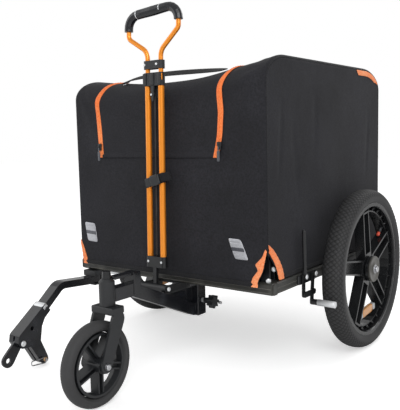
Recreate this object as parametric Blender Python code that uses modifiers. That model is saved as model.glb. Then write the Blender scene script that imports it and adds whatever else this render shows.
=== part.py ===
"""Dog bike trailer: fabric cabin on a tube tray, two mag wheels, a stroller caster, a pull handle and a tow arm.

Everything is built in the trailer's own frame, in metres: X runs across the trailer, Y runs back from the
front rail, Z is the height over the ground. The root empty then puts the middle of the whole trailer over
the world origin. Each moving piece hangs on an empty that lies on its joint's axis.
"""

import math

import bmesh
import bpy
from mathutils import Matrix, Vector

# Clearances
GAP = 0.0003
RUN = 0.0004

# Tray
TRAY_WIDTH = 0.592
TRAY_DEPTH = 0.608
TRAY_BOTTOM = 0.205
RAIL_HEIGHT = 0.026
RAIL_THICKNESS = 0.020
RAIL_BEVEL = 0.003
FLOOR_THICKNESS = 0.006
CROSS_BAR_DEPTH = 0.024
FLOOR_NOTCH_CLEAR = 0.002

# Cabin cover
COVER_HALF_WIDTH = 0.289
COVER_WALL = 0.0025
COVER_FRONT_Y = -0.0105
COVER_REAR_OVERHANG = 0.004
COVER_FRONT_HEM = 0.2225
ROOF_LEFT = 0.704
ROOF_RIGHT = 0.724
ROOF_SAG_FRONT = 0.0315
ROOF_SAG_REAR = 0.010
FRONT_TOP_REACH = 0.090
FRONT_TOP_DROP = 0.054
FRONT_TOP_STEPS = 7
REAR_TOP_REACH = 0.105
REAR_TOP_DROP = 0.057
REAR_TOP_STEPS = 7
COVER_SECTIONS = 10
CORNER_CUT_WIDTH = 0.045
CORNER_CUT_DEPTH = 0.062
CORNER_CUT_TOP = 0.315
REAR_CUT_WIDTH = 0.028
REAR_CUT_DEPTH = 0.030
REAR_CUT_TOP = 0.262
FLAP_LEFT = -0.196
FLAP_RIGHT = 0.160
FLAP_HEM = 0.503
FLAP_THICKNESS = 0.0016
FLAP_LIFT = 0.0006
FLAP_ROOF_REACH = 0.012
ZIP_WIDTH = 0.014
ZIP_THICKNESS = 0.0022
ZIP_SLIDER_RISE = 0.029
ZIP_TRAVEL = 0.085
TOP_STRAP_HALF = 0.155
TOP_STRAP_WIDTH = 0.025
TOP_STRAP_THICKNESS = 0.003
TOP_STRAP_Y = 0.045
TOP_STRAP_RISE = 0.0095
TOP_STRAP_SKEW = 0.6
TOP_STRAP_SHIFT = -0.005

# Rear door
DOOR_HALF_WIDTH = 0.225
DOOR_TOP = 0.585
DOOR_BOTTOM = 0.250
DOOR_LAP = 0.014
DOOR_THICKNESS = 0.003
DOOR_CORNER = 0.045

# Side frames that carry the cover
FRAME_TUBE_RADIUS = 0.008
FRAME_PIVOT_X = 0.270
FRAME_LEAN_DEG = 0.8
LEFT_PIVOT_Z = 0.250
RIGHT_PIVOT_Z = 0.278
LEFT_ROOF_DROP = 0.0215
RIGHT_ROOF_DROP = 0.0255
RIGHT_LEG_INSET = 0.024
LEFT_LEG_INSET = 0.046
FRAME_FRONT_RADIUS = 0.050
FRAME_REAR_RADIUS = 0.110
FRAME_PIN_RADIUS = 0.003
LEG_BELOW_PIVOT = 0.010
EAR_THICKNESS = 0.0025
EAR_HALF_WIDTH = 0.012
BRACKET_BASE = 0.003
WELD_STEP = 0.0004

# Rear wheels
WHEEL_RADIUS = 0.2032
WHEEL_X = 0.341
WHEEL_Y = 0.386
TYRE_HALF_WIDTH = 0.027
RIM_SEAT_RADIUS = 0.1633
RIM_HALF_WIDTH = 0.0193
RIM_FLANGE = 0.0025
RIM_FLANGE_RADIUS = 0.1705
RIM_INNER_RADIUS = 0.146
RIM_WELL_OUTER = 0.1595
RIM_WELL_INNER = 0.1495
RIM_WELL_FLOOR = 0.003
RIM_LIP = 0.009
SPOKE_COUNT = 5
SPOKE_PHASE_DEG = 98.0
SPOKE_ROOT_WIDTH = 0.040
SPOKE_TIP_WIDTH = 0.034
SPOKE_WALL = 0.0045
SPOKE_BACK = -0.013
SPOKE_FACE = 0.013
SPOKE_FLOOR = -0.002
HUB_RADIUS = 0.021
HUB_CAP_RADIUS = 0.0325
HUB_INNER = -0.027
HUB_OUTER = 0.026
AXLE_RADIUS = 0.006
AXLE_HEAD_RADIUS = 0.0105
AXLE_HEAD_LENGTH = 0.005
AXLE_PLATE_THICKNESS = 0.005
AXLE_PLATE_DEPTH = 0.070
AXLE_BOSS_RADIUS = 0.014

# Parking brakes
BRAKE_LEVER_Y = 0.130
BRAKE_SHOE_Y = 0.177
BRAKE_PIVOT_Z = 0.2245
BRAKE_LINK_DROP = 0.043
BRAKE_PLATE_THICKNESS = 0.003
BRAKE_PIN_RADIUS = 0.003
BRAKE_EYE_RADIUS = 0.0065
BRAKE_ROD_RADIUS = 0.0045
BRAKE_ROD_TOP = 0.334
BRAKE_ROD_LEAN = 0.005
SHOE_BAR_RADIUS = 0.007
SHOE_BAR_Y = 0.170
SHOE_BAR_Z = 0.157
SHOE_BAR_LENGTH = 0.062

# Caster arm and its post
ARM_X = 0.042
ARM_WIDTH = 0.025
ARM_HEIGHT = 0.028
ARM_LEVEL_Z = 0.2255
ARM_BEND_Y = -0.1755
POST_X = 0.052
POST_WIDTH = 0.022
POST_DEPTH = 0.032
POST_Y = 0.056
POST_BOTTOM = 0.117
POST_WALL = 0.002
POST_TRAVEL = 0.080
ARM_FOOT_Z = 0.131
STRUT_THICKNESS = 0.006
STRUT_Z = 0.260
GUSSET_THICKNESS = 0.005
GUSSET_TOP = 0.186
UPRIGHT_THICKNESS = 0.022
KNOB_Z = 0.154
KNOB_RADIUS = 0.0165
KNOB_LENGTH = 0.016
KNOB_STAND_OFF = 0.024
KNOB_STUD_RADIUS = 0.0035
NUT_RADIUS = 0.0075
NUT_LENGTH = 0.006

# Caster
SWIVEL_Y = -0.243
CASTER_RADIUS = 0.0898
CASTER_TRAIL = 0.038
CASTER_TYRE_HALF = 0.0155
CASTER_SEAT_RADIUS = 0.0665
CASTER_RIM_INNER = 0.058
CASTER_HUB_RADIUS = 0.016
CASTER_HUB_HALF = 0.0242
CASTER_SPOKE_WIDTH = 0.016
CASTER_AXLE_RADIUS = 0.004
CASTER_NUT_RADIUS = 0.0075
HEAD_RADIUS = 0.0168
HEAD_BOTTOM = 0.2055
HEAD_TOP = 0.257
HEAD_NECK_TOP = 0.262
HEAD_NECK_RADIUS = 0.0118
STEM_RADIUS = 0.0076
STEM_NUT_RADIUS = 0.0100
STEM_NUT_TOP = 0.277
FORK_OUTER_HALF = 0.031
FORK_LEG_THICKNESS = 0.006
FORK_CROWN_HALF_DEPTH = 0.0185
FORK_CROWN_BOTTOM = 0.190
FORK_CROWN_TOP = 0.205
FORK_EYE_RADIUS = 0.014

# Pull handle
HANDLE_X = 0.0055
HANDLE_AXIS_Y = -0.052
HANDLE_AXIS_Z = 0.200
HANDLE_LEAN_DEG = 1.4
HANDLE_TUBE_OFFSET = 0.010
HANDLE_TUBE_HALF_SPACING = 0.020
LOWER_TUBE_RADIUS = 0.0072
LOWER_TUBE_BORE = 0.0060
LOWER_TUBE_BOTTOM = 0.2545
LOWER_TUBE_TOP = 0.681
UPPER_TUBE_RADIUS = 0.0056
UPPER_TUBE_BOTTOM = 0.335
PIVOT_TUBE_RADIUS = 0.0095
PIVOT_TUBE_HALF = 0.035
PIVOT_BOLT_RADIUS = 0.004
FOOT_BOTTOM = 0.2465
FOOT_TOP = 0.2725
STEM_HALF_WIDTH = 0.0048
STEM_HALF_DEPTH = 0.0040
CLAMP_ROUND = 0.0088
CLAMP_GAP = 0.0087
LOWER_CLAMP_BOTTOM = 0.669
LOWER_CLAMP_TOP = 0.699
UPPER_CLAMP_TOP = 0.7265
TONGUE_WIDTH = 0.0095
TONGUE_LENGTH = 0.032
TONGUE_THICKNESS = 0.004
TONGUE_PIVOT_Z = 0.6505
BEND_DROP = 0.0407
UPPER_BEND_RADIUS = 0.028
FLARE_BEND_RADIUS = 0.014
FLARE_HALF = 0.0752
FLARE_DROP = 0.0168
GRIP_DROP = 0.0335
GRIP_SHIFT = -0.0025
GRIP_TILT_DEG = 4.6
GRIP_TOP_Z = 0.839
GRIP_RADIUS = 0.0104
GRIP_BEND_RADIUS = 0.030
GRIP_SWELL = 1.10
GRIP_SWELL_REACH = 0.050
STRAP_Z = 0.450
STRAP_HALF_HEIGHT = 0.0125
STRAP_THICKNESS = 0.002
STRAP_CLEAR = 0.0008
BUCKLE_HALF_WIDTH = 0.0215
BUCKLE_HALF_HEIGHT = 0.0125
BUCKLE_THICKNESS = 0.009
BUCKLE_TILT_DEG = 16.0

# Tow arm
TOW_X = -0.255
TOW_PIVOT_Y = 0.006
TOW_LEVEL_Z = 0.181
TOW_BEND_Y = -0.122
TOW_BEND_Z = 0.188
TOW_DROP = 0.062
TOW_REACH = 0.074
TOW_WIDTH = 0.030
TOW_HEIGHT = 0.018
TOW_PIN_RADIUS = 0.004
TOW_EAR_THICKNESS = 0.004
HITCH_WALL = 0.003
EYE_PIVOT_Y = -0.251
EYE_PIVOT_Z = 0.074
EYE_Y = -0.283
EYE_Z = 0.038
EYE_RADIUS = 0.0165
EYE_BORE = 0.0065
EYE_THICKNESS = 0.006
HITCH_LEG_Y = -0.189
HITCH_LEG_Z = 0.018
HITCH_PIN_RADIUS = 0.003

# Values worked out from the ones above
FRAME_TOP = TRAY_BOTTOM + RAIL_HEIGHT
SIDE_RAIL_X = TRAY_WIDTH / 2 - RAIL_THICKNESS
COVER_REAR_Y = TRAY_DEPTH + COVER_REAR_OVERHANG
CASTER_Y = SWIVEL_Y - CASTER_TRAIL
MIDDLE_Y = (CASTER_Y - CASTER_RADIUS + COVER_REAR_Y + GAP + DOOR_THICKNESS) / 2
AXLE_PLATE_X = TRAY_WIDTH / 2 + GAP
HANDLE_TUBE_Y = HANDLE_AXIS_Y + HANDLE_TUBE_OFFSET
TYRE_RADIUS_AT_BEAD = RIM_SEAT_RADIUS + GAP
BRAKE_PLATE_X = TRAY_WIDTH / 2 + 0.004
ZIP_SLIDER_HEIGHT = FLAP_HEM + ZIP_SLIDER_RISE
GRIP_X = HANDLE_X + GRIP_SHIFT
GRIP_END_Z = GRIP_TOP_Z - GRIP_DROP
FLARE_Z = GRIP_END_Z - FLARE_DROP
BEND_Z = FLARE_Z - BEND_DROP
GRIP_RISE = math.tan(math.radians(GRIP_TILT_DEG))

FLAT_YZ = Matrix(((0, 0, 1, 0), (1, 0, 0, 0), (0, 1, 0, 0), (0, 0, 0, 1)))
FLAT_XZ = Matrix(((1, 0, 0, 0), (0, 0, -1, 0), (0, 1, 0, 0), (0, 0, 0, 1)))


def clear_scene():
    """Removes what the start-up file holds."""
    for old in list(bpy.data.objects):
        bpy.data.objects.remove(old, do_unlink=True)


def collection(name):
    """A new collection in the scene."""
    made = bpy.data.collections.new(name)
    bpy.context.scene.collection.children.link(made)
    return made


clear_scene()
PARTS = collection("dog_bike_trailer")


def finish(name, colour, roughness, metallic=0.0):
    """A plain Principled material: linear colour, roughness and metallic value."""
    material = bpy.data.materials.new(name)
    material.use_nodes = True
    shader = material.node_tree.nodes["Principled BSDF"]
    shader.inputs["Base Color"].default_value = (*colour, 1.0)
    shader.inputs["Roughness"].default_value = roughness
    shader.inputs["Metallic"].default_value = metallic
    return material


RAIL_PAINT = finish("rail_paint", (0.045, 0.042, 0.038), 0.45, 0.3)
BLACK_STEEL = finish("black_steel", (0.018, 0.018, 0.020), 0.42, 0.2)
BRIGHT_STEEL = finish("bright_steel", (0.55, 0.55, 0.57), 0.25, 1.0)
ORANGE_TUBE = finish("orange_tube", (0.85, 0.33, 0.04), 0.35, 0.5)
BLACK_PLASTIC = finish("black_plastic", (0.020, 0.021, 0.023), 0.50)
GRIP_PLASTIC = finish("grip_plastic", (0.045, 0.047, 0.055), 0.38)
TYRE_RUBBER = finish("tyre_rubber", (0.035, 0.035, 0.032), 0.80)
COVER_CLOTH = finish("cover_cloth", (0.022, 0.022, 0.024), 0.75)
ORANGE_TAPE = finish("orange_tape", (0.80, 0.22, 0.06), 0.60)
WEBBING = finish("webbing", (0.012, 0.012, 0.013), 0.70)
FLOOR_BOARD = finish("floor_board", (0.020, 0.020, 0.020), 0.60)


def empty(name, place, parent=None, turn=(0.0, 0.0, 0.0)):
    """An empty on a joint's axis; turn leans what hangs on it, in radians."""
    made = bpy.data.objects.new(name, None)
    made.empty_display_size = 0.03
    PARTS.objects.link(made)
    made.location = Vector(place)
    if parent is not None:
        made.location -= Vector(parent["place"])
        made.parent = parent
    made.rotation_euler = turn
    made["place"] = tuple(place)
    return made


ROOT = empty("trailer_root", (0.0, 0.0, 0.0))
ROOT.location = (0.0, -MIDDLE_Y, 0.0)


def hang(obj, pivot, material):
    """Gives an object its material and hangs it on an empty, with its origin on that empty's point."""
    obj.data.transform(Matrix.Translation(-Vector(pivot["place"])))
    obj.data.materials.clear()
    obj.data.materials.append(material)
    obj.parent = pivot
    return obj


def as_object(name, bm):
    """An object from a bmesh, with its faces turned outward."""
    bmesh.ops.recalc_face_normals(bm, faces=bm.faces)
    mesh = bpy.data.meshes.new(name)
    bm.to_mesh(mesh)
    bm.free()
    obj = bpy.data.objects.new(name, mesh)
    PARTS.objects.link(obj)
    return obj


def bake(obj):
    """Turns a curve, or a mesh with modifiers, into a plain welded mesh object of the same name."""
    bpy.context.view_layer.update()
    graph = bpy.context.evaluated_depsgraph_get()
    mesh = bpy.data.meshes.new_from_object(obj.evaluated_get(graph))
    name = obj.name
    bpy.data.objects.remove(obj, do_unlink=True)
    bm = bmesh.new()
    bm.from_mesh(mesh)
    bmesh.ops.remove_doubles(bm, verts=bm.verts, dist=1e-6)
    bmesh.ops.dissolve_degenerate(bm, edges=bm.edges, dist=1e-7)
    return as_object(name, bm)


def combine(obj, others, operation):
    """Cuts other objects out of obj, or joins them to it, and removes them."""
    for other in others:
        step = obj.modifiers.new(operation.lower(), "BOOLEAN")
        step.operation = operation
        step.solver = "EXACT"
        step.object = other
        obj = bake(obj)
        bpy.data.objects.remove(other, do_unlink=True)
    return obj


def cut(obj, *cutters):
    """Cuts the cutters out of obj."""
    return combine(obj, cutters, "DIFFERENCE")


def join(obj, *others):
    """Welds other solids to obj."""
    return combine(obj, others, "UNION")


def box(name, low, high, bevel=0.0):
    """A box between two corners, with chamfered edges where bevel is given."""
    low, high = Vector(low), Vector(high)
    bm = bmesh.new()
    bmesh.ops.create_cube(bm, size=1.0)
    bmesh.ops.scale(bm, vec=high - low, verts=bm.verts)
    bmesh.ops.translate(bm, vec=(high + low) / 2, verts=bm.verts)
    if bevel:
        bmesh.ops.bevel(bm, geom=bm.edges[:], offset=bevel, segments=1, affect="EDGES")
    return as_object(name, bm)


def rod(name, start, end, radius, sides=16, end_radius=None):
    """A round or many-sided bar between two points."""
    start, end = Vector(start), Vector(end)
    bm = bmesh.new()
    top = radius if end_radius is None else end_radius
    bmesh.ops.create_cone(
        bm, cap_ends=True, segments=sides, radius1=radius, radius2=top, depth=(end - start).length
    )
    turn = (end - start).to_track_quat("Z", "Y").to_matrix().to_4x4()
    bmesh.ops.transform(bm, matrix=Matrix.Translation((start + end) / 2) @ turn, verts=bm.verts)
    return as_object(name, bm)


def pipe(name, start, end, radius, bore, sides=20):
    """A bar with a bore right through."""
    start, end = Vector(start), Vector(end)
    past = (end - start).normalized() * 0.002
    return cut(rod(name, start, end, radius, sides), rod("bore", start - past, end + past, bore, sides))


def turned(name, profile, centre, steps, flat=FLAT_YZ, ring=False):
    """Turns a profile of (along, radius) points about an axis; ring joins its ends into a closed loop."""
    mesh = bpy.data.meshes.new(name)
    points = [(radius, 0.0, along) for along, radius in profile]
    edges = [(i, i + 1) for i in range(len(points) - 1)]
    if ring:
        edges.append((len(points) - 1, 0))
    mesh.from_pydata(points, edges, [])
    obj = bpy.data.objects.new(name, mesh)
    PARTS.objects.link(obj)
    screw = obj.modifiers.new("turn", "SCREW")
    screw.axis = "Z"
    screw.steps = steps
    screw.render_steps = steps
    screw.use_merge_vertices = True
    screw.merge_threshold = 1e-5
    obj = bake(obj)
    obj.data.transform(Matrix.Translation(Vector(centre)) @ flat)
    return obj


def plate(name, loops, thickness, centre, flat=FLAT_YZ):
    """A flat sheet: the first loop is its outline, the others are holes. It is centred on its plane."""
    curve = bpy.data.curves.new(name, "CURVE")
    curve.dimensions = "2D"
    curve.fill_mode = "BOTH"
    curve.extrude = thickness / 2
    for loop in loops:
        spline = curve.splines.new("POLY")
        spline.points.add(len(loop) - 1)
        for point, (across, up) in zip(spline.points, loop):
            point.co = (across, up, 0.0, 1.0)
        spline.use_cyclic_u = True
    obj = bpy.data.objects.new(name, curve)
    PARTS.objects.link(obj)
    obj = bake(obj)
    obj.data.transform(Matrix.Translation(Vector(centre)) @ flat)
    return obj


def tube(name, points, radius, fineness=4, swell=None):
    """A bent bar as a curve with filled caps; swell gives each point its share of the radius."""
    curve = bpy.data.curves.new(name, "CURVE")
    curve.dimensions = "3D"
    curve.bevel_depth = radius
    curve.bevel_resolution = fineness
    curve.use_fill_caps = True
    spline = curve.splines.new("POLY")
    spline.points.add(len(points) - 1)
    for index, (point, place) in enumerate(zip(spline.points, points)):
        point.co = (*place, 1.0)
        if swell:
            point.radius = swell[index]
    obj = bpy.data.objects.new(name, curve)
    PARTS.objects.link(obj)
    return obj


def circle(across, up, radius, count=16):
    """A round loop of points."""
    return [
        (across + radius * math.cos(2 * math.pi * i / count), up + radius * math.sin(2 * math.pi * i / count))
        for i in range(count)
    ]


def rounded(points, radii, count=4, closed=True):
    """Rounds the corners of a flat outline or of a path in space, each corner by its own radius."""
    points = [Vector(p) for p in points]
    made = []
    last = len(points) - 1
    for index, corner in enumerate(points):
        radius = radii[index] if isinstance(radii, (list, tuple)) else radii
        if radius <= 0 or (not closed and index in (0, last)):
            made.append(tuple(corner))
            continue
        before = (points[index - 1] - corner).normalized()
        after = (points[(index + 1) % len(points)] - corner).normalized()
        half = before.angle(after) / 2
        centre = corner + (before + after).normalized() * (radius / math.sin(half))
        first = corner + before * (radius / math.tan(half)) - centre
        second = corner + after * (radius / math.tan(half)) - centre
        sweep = first.angle(second)
        for step in range(count + 1):
            share = step / count
            a = math.sin((1 - share) * sweep) / math.sin(sweep)
            b = math.sin(share * sweep) / math.sin(sweep)
            made.append(tuple(centre + first * a + second * b))
    return made


def strip_outline(points, width):
    """The outline of a bar of one width along a flat path, mitred where it bends."""
    points = [Vector(p) for p in points]
    left, right = [], []
    for index, point in enumerate(points):
        before = (point - points[index - 1]).normalized() if index else None
        after = (points[index + 1] - point).normalized() if index < len(points) - 1 else None
        along = ((before or after) + (after or before)).normalized()
        square = Vector((-along.y, along.x))
        stretch = 1.0 / max(0.2, along.dot(before or after))
        left.append(tuple(point + square * (width / 2 * stretch)))
        right.append(tuple(point - square * (width / 2 * stretch)))
    return left + right[::-1]


def capsule(a, b, radius_a, radius_b, count=7):
    """A flat outline of two round ends of unlike size, joined by straight sides."""
    a, b = Vector(a), Vector(b)
    along = (b - a).normalized()
    angle = math.atan2(along.y, along.x)
    spread = math.acos((radius_a - radius_b) / (b - a).length)
    loop = []
    for step in range(count + 1):
        turn = angle + spread + (2 * math.pi - 2 * spread) * step / count
        loop.append((a.x + radius_a * math.cos(turn), a.y + radius_a * math.sin(turn)))
    for step in range(count + 1):
        turn = angle - spread + 2 * spread * step / count
        loop.append((b.x + radius_b * math.cos(turn), b.y + radius_b * math.sin(turn)))
    return loop


def roof_height(across, back):
    """Height of the roof: it rises to the right and sags between the side frames, most at the front."""
    share = (across + COVER_HALF_WIDTH) / (2 * COVER_HALF_WIDTH)
    edge = ROOF_LEFT + (ROOF_RIGHT - ROOF_LEFT) * share
    depth = back / COVER_REAR_Y
    sag = ROOF_SAG_FRONT + (ROOF_SAG_REAR - ROOF_SAG_FRONT) * depth
    return edge - sag * (1.0 - (across / COVER_HALF_WIDTH) ** 2)


def cover_profile(across, outward=0.0, hem=COVER_FRONT_HEM):
    """Side view of the cover at one place across: up the front, over the roof and down the rear."""
    front_roof = roof_height(across, COVER_FRONT_Y + FRONT_TOP_REACH)
    rear_roof = roof_height(across, COVER_REAR_Y - REAR_TOP_REACH)
    points = [(COVER_FRONT_Y - outward, hem), (COVER_FRONT_Y - outward, front_roof - FRONT_TOP_DROP)]
    for step in range(1, FRONT_TOP_STEPS + 1):
        turn = math.pi / 2 * step / FRONT_TOP_STEPS
        points.append(
            (
                COVER_FRONT_Y + FRONT_TOP_REACH - (FRONT_TOP_REACH + outward) * math.cos(turn),
                front_roof - FRONT_TOP_DROP + (FRONT_TOP_DROP + outward) * math.sin(turn),
            )
        )
    reach = COVER_FRONT_Y + FRONT_TOP_REACH + FLAP_ROOF_REACH
    points.append((reach, roof_height(across, reach) + outward))
    middle = (reach + COVER_REAR_Y - REAR_TOP_REACH) / 2
    points.append((middle, roof_height(across, middle) + outward))
    for step in range(REAR_TOP_STEPS + 1):
        turn = math.pi / 2 * (1 - step / REAR_TOP_STEPS)
        points.append(
            (
                COVER_REAR_Y - REAR_TOP_REACH + (REAR_TOP_REACH + outward) * math.cos(turn),
                rear_roof - REAR_TOP_DROP + (REAR_TOP_DROP + outward) * math.sin(turn),
            )
        )
    points.append((COVER_REAR_Y + outward, hem))
    return points


def cover_stations():
    """Places across at which the cover's side views are drawn, closer together towards the sides."""
    return [
        COVER_HALF_WIDTH * math.sin(math.pi / 2 * (2 * index / COVER_SECTIONS - 1))
        for index in range(COVER_SECTIONS + 1)
    ]


def station_share(across):
    """The two stations on either side of a place across, and how far the place lies between them."""
    stations = cover_stations()
    index = max(i for i, place in enumerate(stations) if place <= across or i == 0)
    low, high = stations[index], stations[min(index + 1, len(stations) - 1)]
    return low, high, (across - low) / (high - low) if high > low else 0.0


def cover_top(across, back):
    """Height of the cover's flat pieces at one place in the front half of its roof."""
    low, high, share = station_share(across)
    heights = []
    for place in (low, high):
        profile = cover_profile(place)
        for (y0, z0), (y1, z1) in zip(profile[1:], profile[2:]):
            if y0 <= back <= y1:
                heights.append(z0 + (z1 - z0) * (back - y0) / (y1 - y0))
                break
    return heights[0] + (heights[1] - heights[0]) * share


def front_view(across, lift):
    """The cover's side view from the flap's hem to its end on the roof, between two stations where need be."""
    low, high, share = station_share(across)
    rows = FRONT_TOP_STEPS + 3
    first, second = (cover_profile(place, lift, FLAP_HEM)[:rows] for place in (low, high))
    return [tuple(Vector(a).lerp(Vector(b), share)) for a, b in zip(first, second)]


def skin(name, stations, close_sides=False):
    """A surface facing out, through (across, [(back, up), ...]) profiles that run up the front and back."""
    bm = bmesh.new()
    rows = [[bm.verts.new((across, back, up)) for back, up in profile] for across, profile in stations]
    for first, second in zip(rows, rows[1:]):
        for i in range(len(first) - 1):
            bm.faces.new((first[i], second[i], second[i + 1], first[i + 1]))
    if close_sides:
        bm.faces.new(rows[0])
        bm.faces.new(rows[-1][::-1])
    mesh = bpy.data.meshes.new(name)
    bm.to_mesh(mesh)
    bm.free()
    obj = bpy.data.objects.new(name, mesh)
    PARTS.objects.link(obj)
    return obj


def thicken(obj, thickness, offset):
    """Gives an open surface its thickness, inward for an offset of -1 and outward for 1."""
    solid = obj.modifiers.new("wall", "SOLIDIFY")
    solid.thickness = thickness
    solid.offset = offset
    solid.use_even_offset = True
    return bake(obj)


def make_tray():
    """Four rails, the floor let in between them and the rear cross bar under it."""
    half, top = TRAY_WIDTH / 2, FRAME_TOP
    for name, start in (("front_rail", 0.0), ("rear_rail", TRAY_DEPTH - RAIL_THICKNESS)):
        rail = box(name, (-half, start, TRAY_BOTTOM), (half, start + RAIL_THICKNESS, top), RAIL_BEVEL)
        hang(rail, ROOT, RAIL_PAINT)
    for side, name in ((-1, "side_rail_left"), (1, "side_rail_right")):
        low = min(side * SIDE_RAIL_X, side * half)
        rail = box(
            name,
            (low, RAIL_THICKNESS + GAP, TRAY_BOTTOM),
            (low + RAIL_THICKNESS, TRAY_DEPTH - RAIL_THICKNESS - GAP, top),
            RAIL_BEVEL,
        )
        rivet_end = BRAKE_PLATE_X + BRAKE_PLATE_THICKNESS
        for back in (BRAKE_LEVER_Y, BRAKE_SHOE_Y):
            shank = rod(
                "shank",
                (side * (half - 0.004), back, BRAKE_PIVOT_Z),
                (side * (rivet_end + 0.001), back, BRAKE_PIVOT_Z),
                BRAKE_PIN_RADIUS,
                12,
            )
            collar = rod(
                "collar",
                (side * (half - 0.003), back, BRAKE_PIVOT_Z),
                (side * (BRAKE_PLATE_X - GAP), back, BRAKE_PIVOT_Z),
                BRAKE_EYE_RADIUS - 0.001,
                12,
            )
            head = rod(
                "head",
                (side * (rivet_end + GAP), back, BRAKE_PIVOT_Z),
                (side * (rivet_end + 0.002), back, BRAKE_PIVOT_Z),
                BRAKE_PIN_RADIUS + 0.002,
                12,
            )
            rail = join(rail, collar, shank, head)
        hang(rail, ROOT, RAIL_PAINT)
    inner = SIDE_RAIL_X - GAP
    floor = box(
        "floor_panel",
        (-inner, RAIL_THICKNESS + GAP, top - FLOOR_THICKNESS),
        (inner, TRAY_DEPTH - RAIL_THICKNESS - GAP, top),
    )
    for side, inset in ((-1, LEFT_LEG_INSET), (1, RIGHT_LEG_INSET)):
        near = side * (FRAME_PIVOT_X - EAR_HALF_WIDTH - FLOOR_NOTCH_CLEAR)
        far = side * (inner + 0.01)
        half_notch = FRAME_TUBE_RADIUS + RUN + EAR_THICKNESS + 2 * FLOOR_NOTCH_CLEAR
        for back in (inset, TRAY_DEPTH - inset):
            notch = box(
                "notch",
                (min(near, far), back - half_notch, top - 0.02),
                (max(near, far), back + half_notch, top + 0.01),
            )
            floor = cut(floor, notch)
    hang(floor, ROOT, FLOOR_BOARD)
    bar = box(
        "rear_cross_bar",
        (-inner, WHEEL_Y - CROSS_BAR_DEPTH / 2, TRAY_BOTTOM + GAP),
        (inner, WHEEL_Y + CROSS_BAR_DEPTH / 2, top - FLOOR_THICKNESS - GAP),
        RAIL_BEVEL / 2,
    )
    hang(bar, ROOT, RAIL_PAINT)


def make_cover():
    """The fabric cabin as a thin shell: door opening, four corner cut-outs, and a hem that clears the rails."""
    stations = [(across, cover_profile(across)) for across in cover_stations()]
    shell = thicken(skin("cover_shell", stations, close_sides=True), COVER_WALL, -1.0)
    far = TRAY_WIDTH
    lower = box(
        "over_rails",
        (-far, COVER_FRONT_Y + COVER_WALL + GAP, 0.0),
        (far, 2 * TRAY_DEPTH, FRAME_TOP + GAP),
    )
    door = plate(
        "door_hole",
        [
            rounded(
                [
                    (-DOOR_HALF_WIDTH + DOOR_LAP, DOOR_BOTTOM + DOOR_LAP),
                    (DOOR_HALF_WIDTH - DOOR_LAP, DOOR_BOTTOM + DOOR_LAP),
                    (DOOR_HALF_WIDTH - DOOR_LAP, DOOR_TOP - DOOR_LAP),
                    (-DOOR_HALF_WIDTH + DOOR_LAP, DOOR_TOP - DOOR_LAP),
                ],
                DOOR_CORNER - DOOR_LAP,
            )
        ],
        0.06,
        (0.0, COVER_REAR_Y, 0.0),
        FLAT_XZ,
    )
    shell = cut(shell, lower, door)
    for side in (-1, 1):
        across = side * COVER_HALF_WIDTH
        front = corner_arch(across, COVER_FRONT_Y, CORNER_CUT_WIDTH, CORNER_CUT_DEPTH, CORNER_CUT_TOP)
        rear = corner_arch(across, COVER_REAR_Y, REAR_CUT_WIDTH, REAR_CUT_DEPTH, REAR_CUT_TOP)
        shell = cut(shell, front, rear)
    hang(shell, ROOT, COVER_CLOTH)


def corner_arch(across, back, width, depth, top):
    """A pointed arch round a corner of the cover: half an egg that stands on the corner."""
    bm = bmesh.new()
    bmesh.ops.create_uvsphere(bm, u_segments=20, v_segments=12, radius=1.0)
    bmesh.ops.scale(bm, vec=(width, depth, top - COVER_FRONT_HEM), verts=bm.verts)
    bmesh.ops.translate(bm, vec=(across, back, COVER_FRONT_HEM), verts=bm.verts)
    return as_object("corner_arch", bm)


def band(name, left, right, thickness):
    """A band of cloth that lies on the cover's front and on the front of its roof."""
    places = [left] + [place for place in cover_stations() if left < place < right] + [right]
    stations = [(across, front_view(across, FLAP_LIFT)) for across in places]
    return thicken(skin(name, stations), thickness, 1.0)


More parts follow.
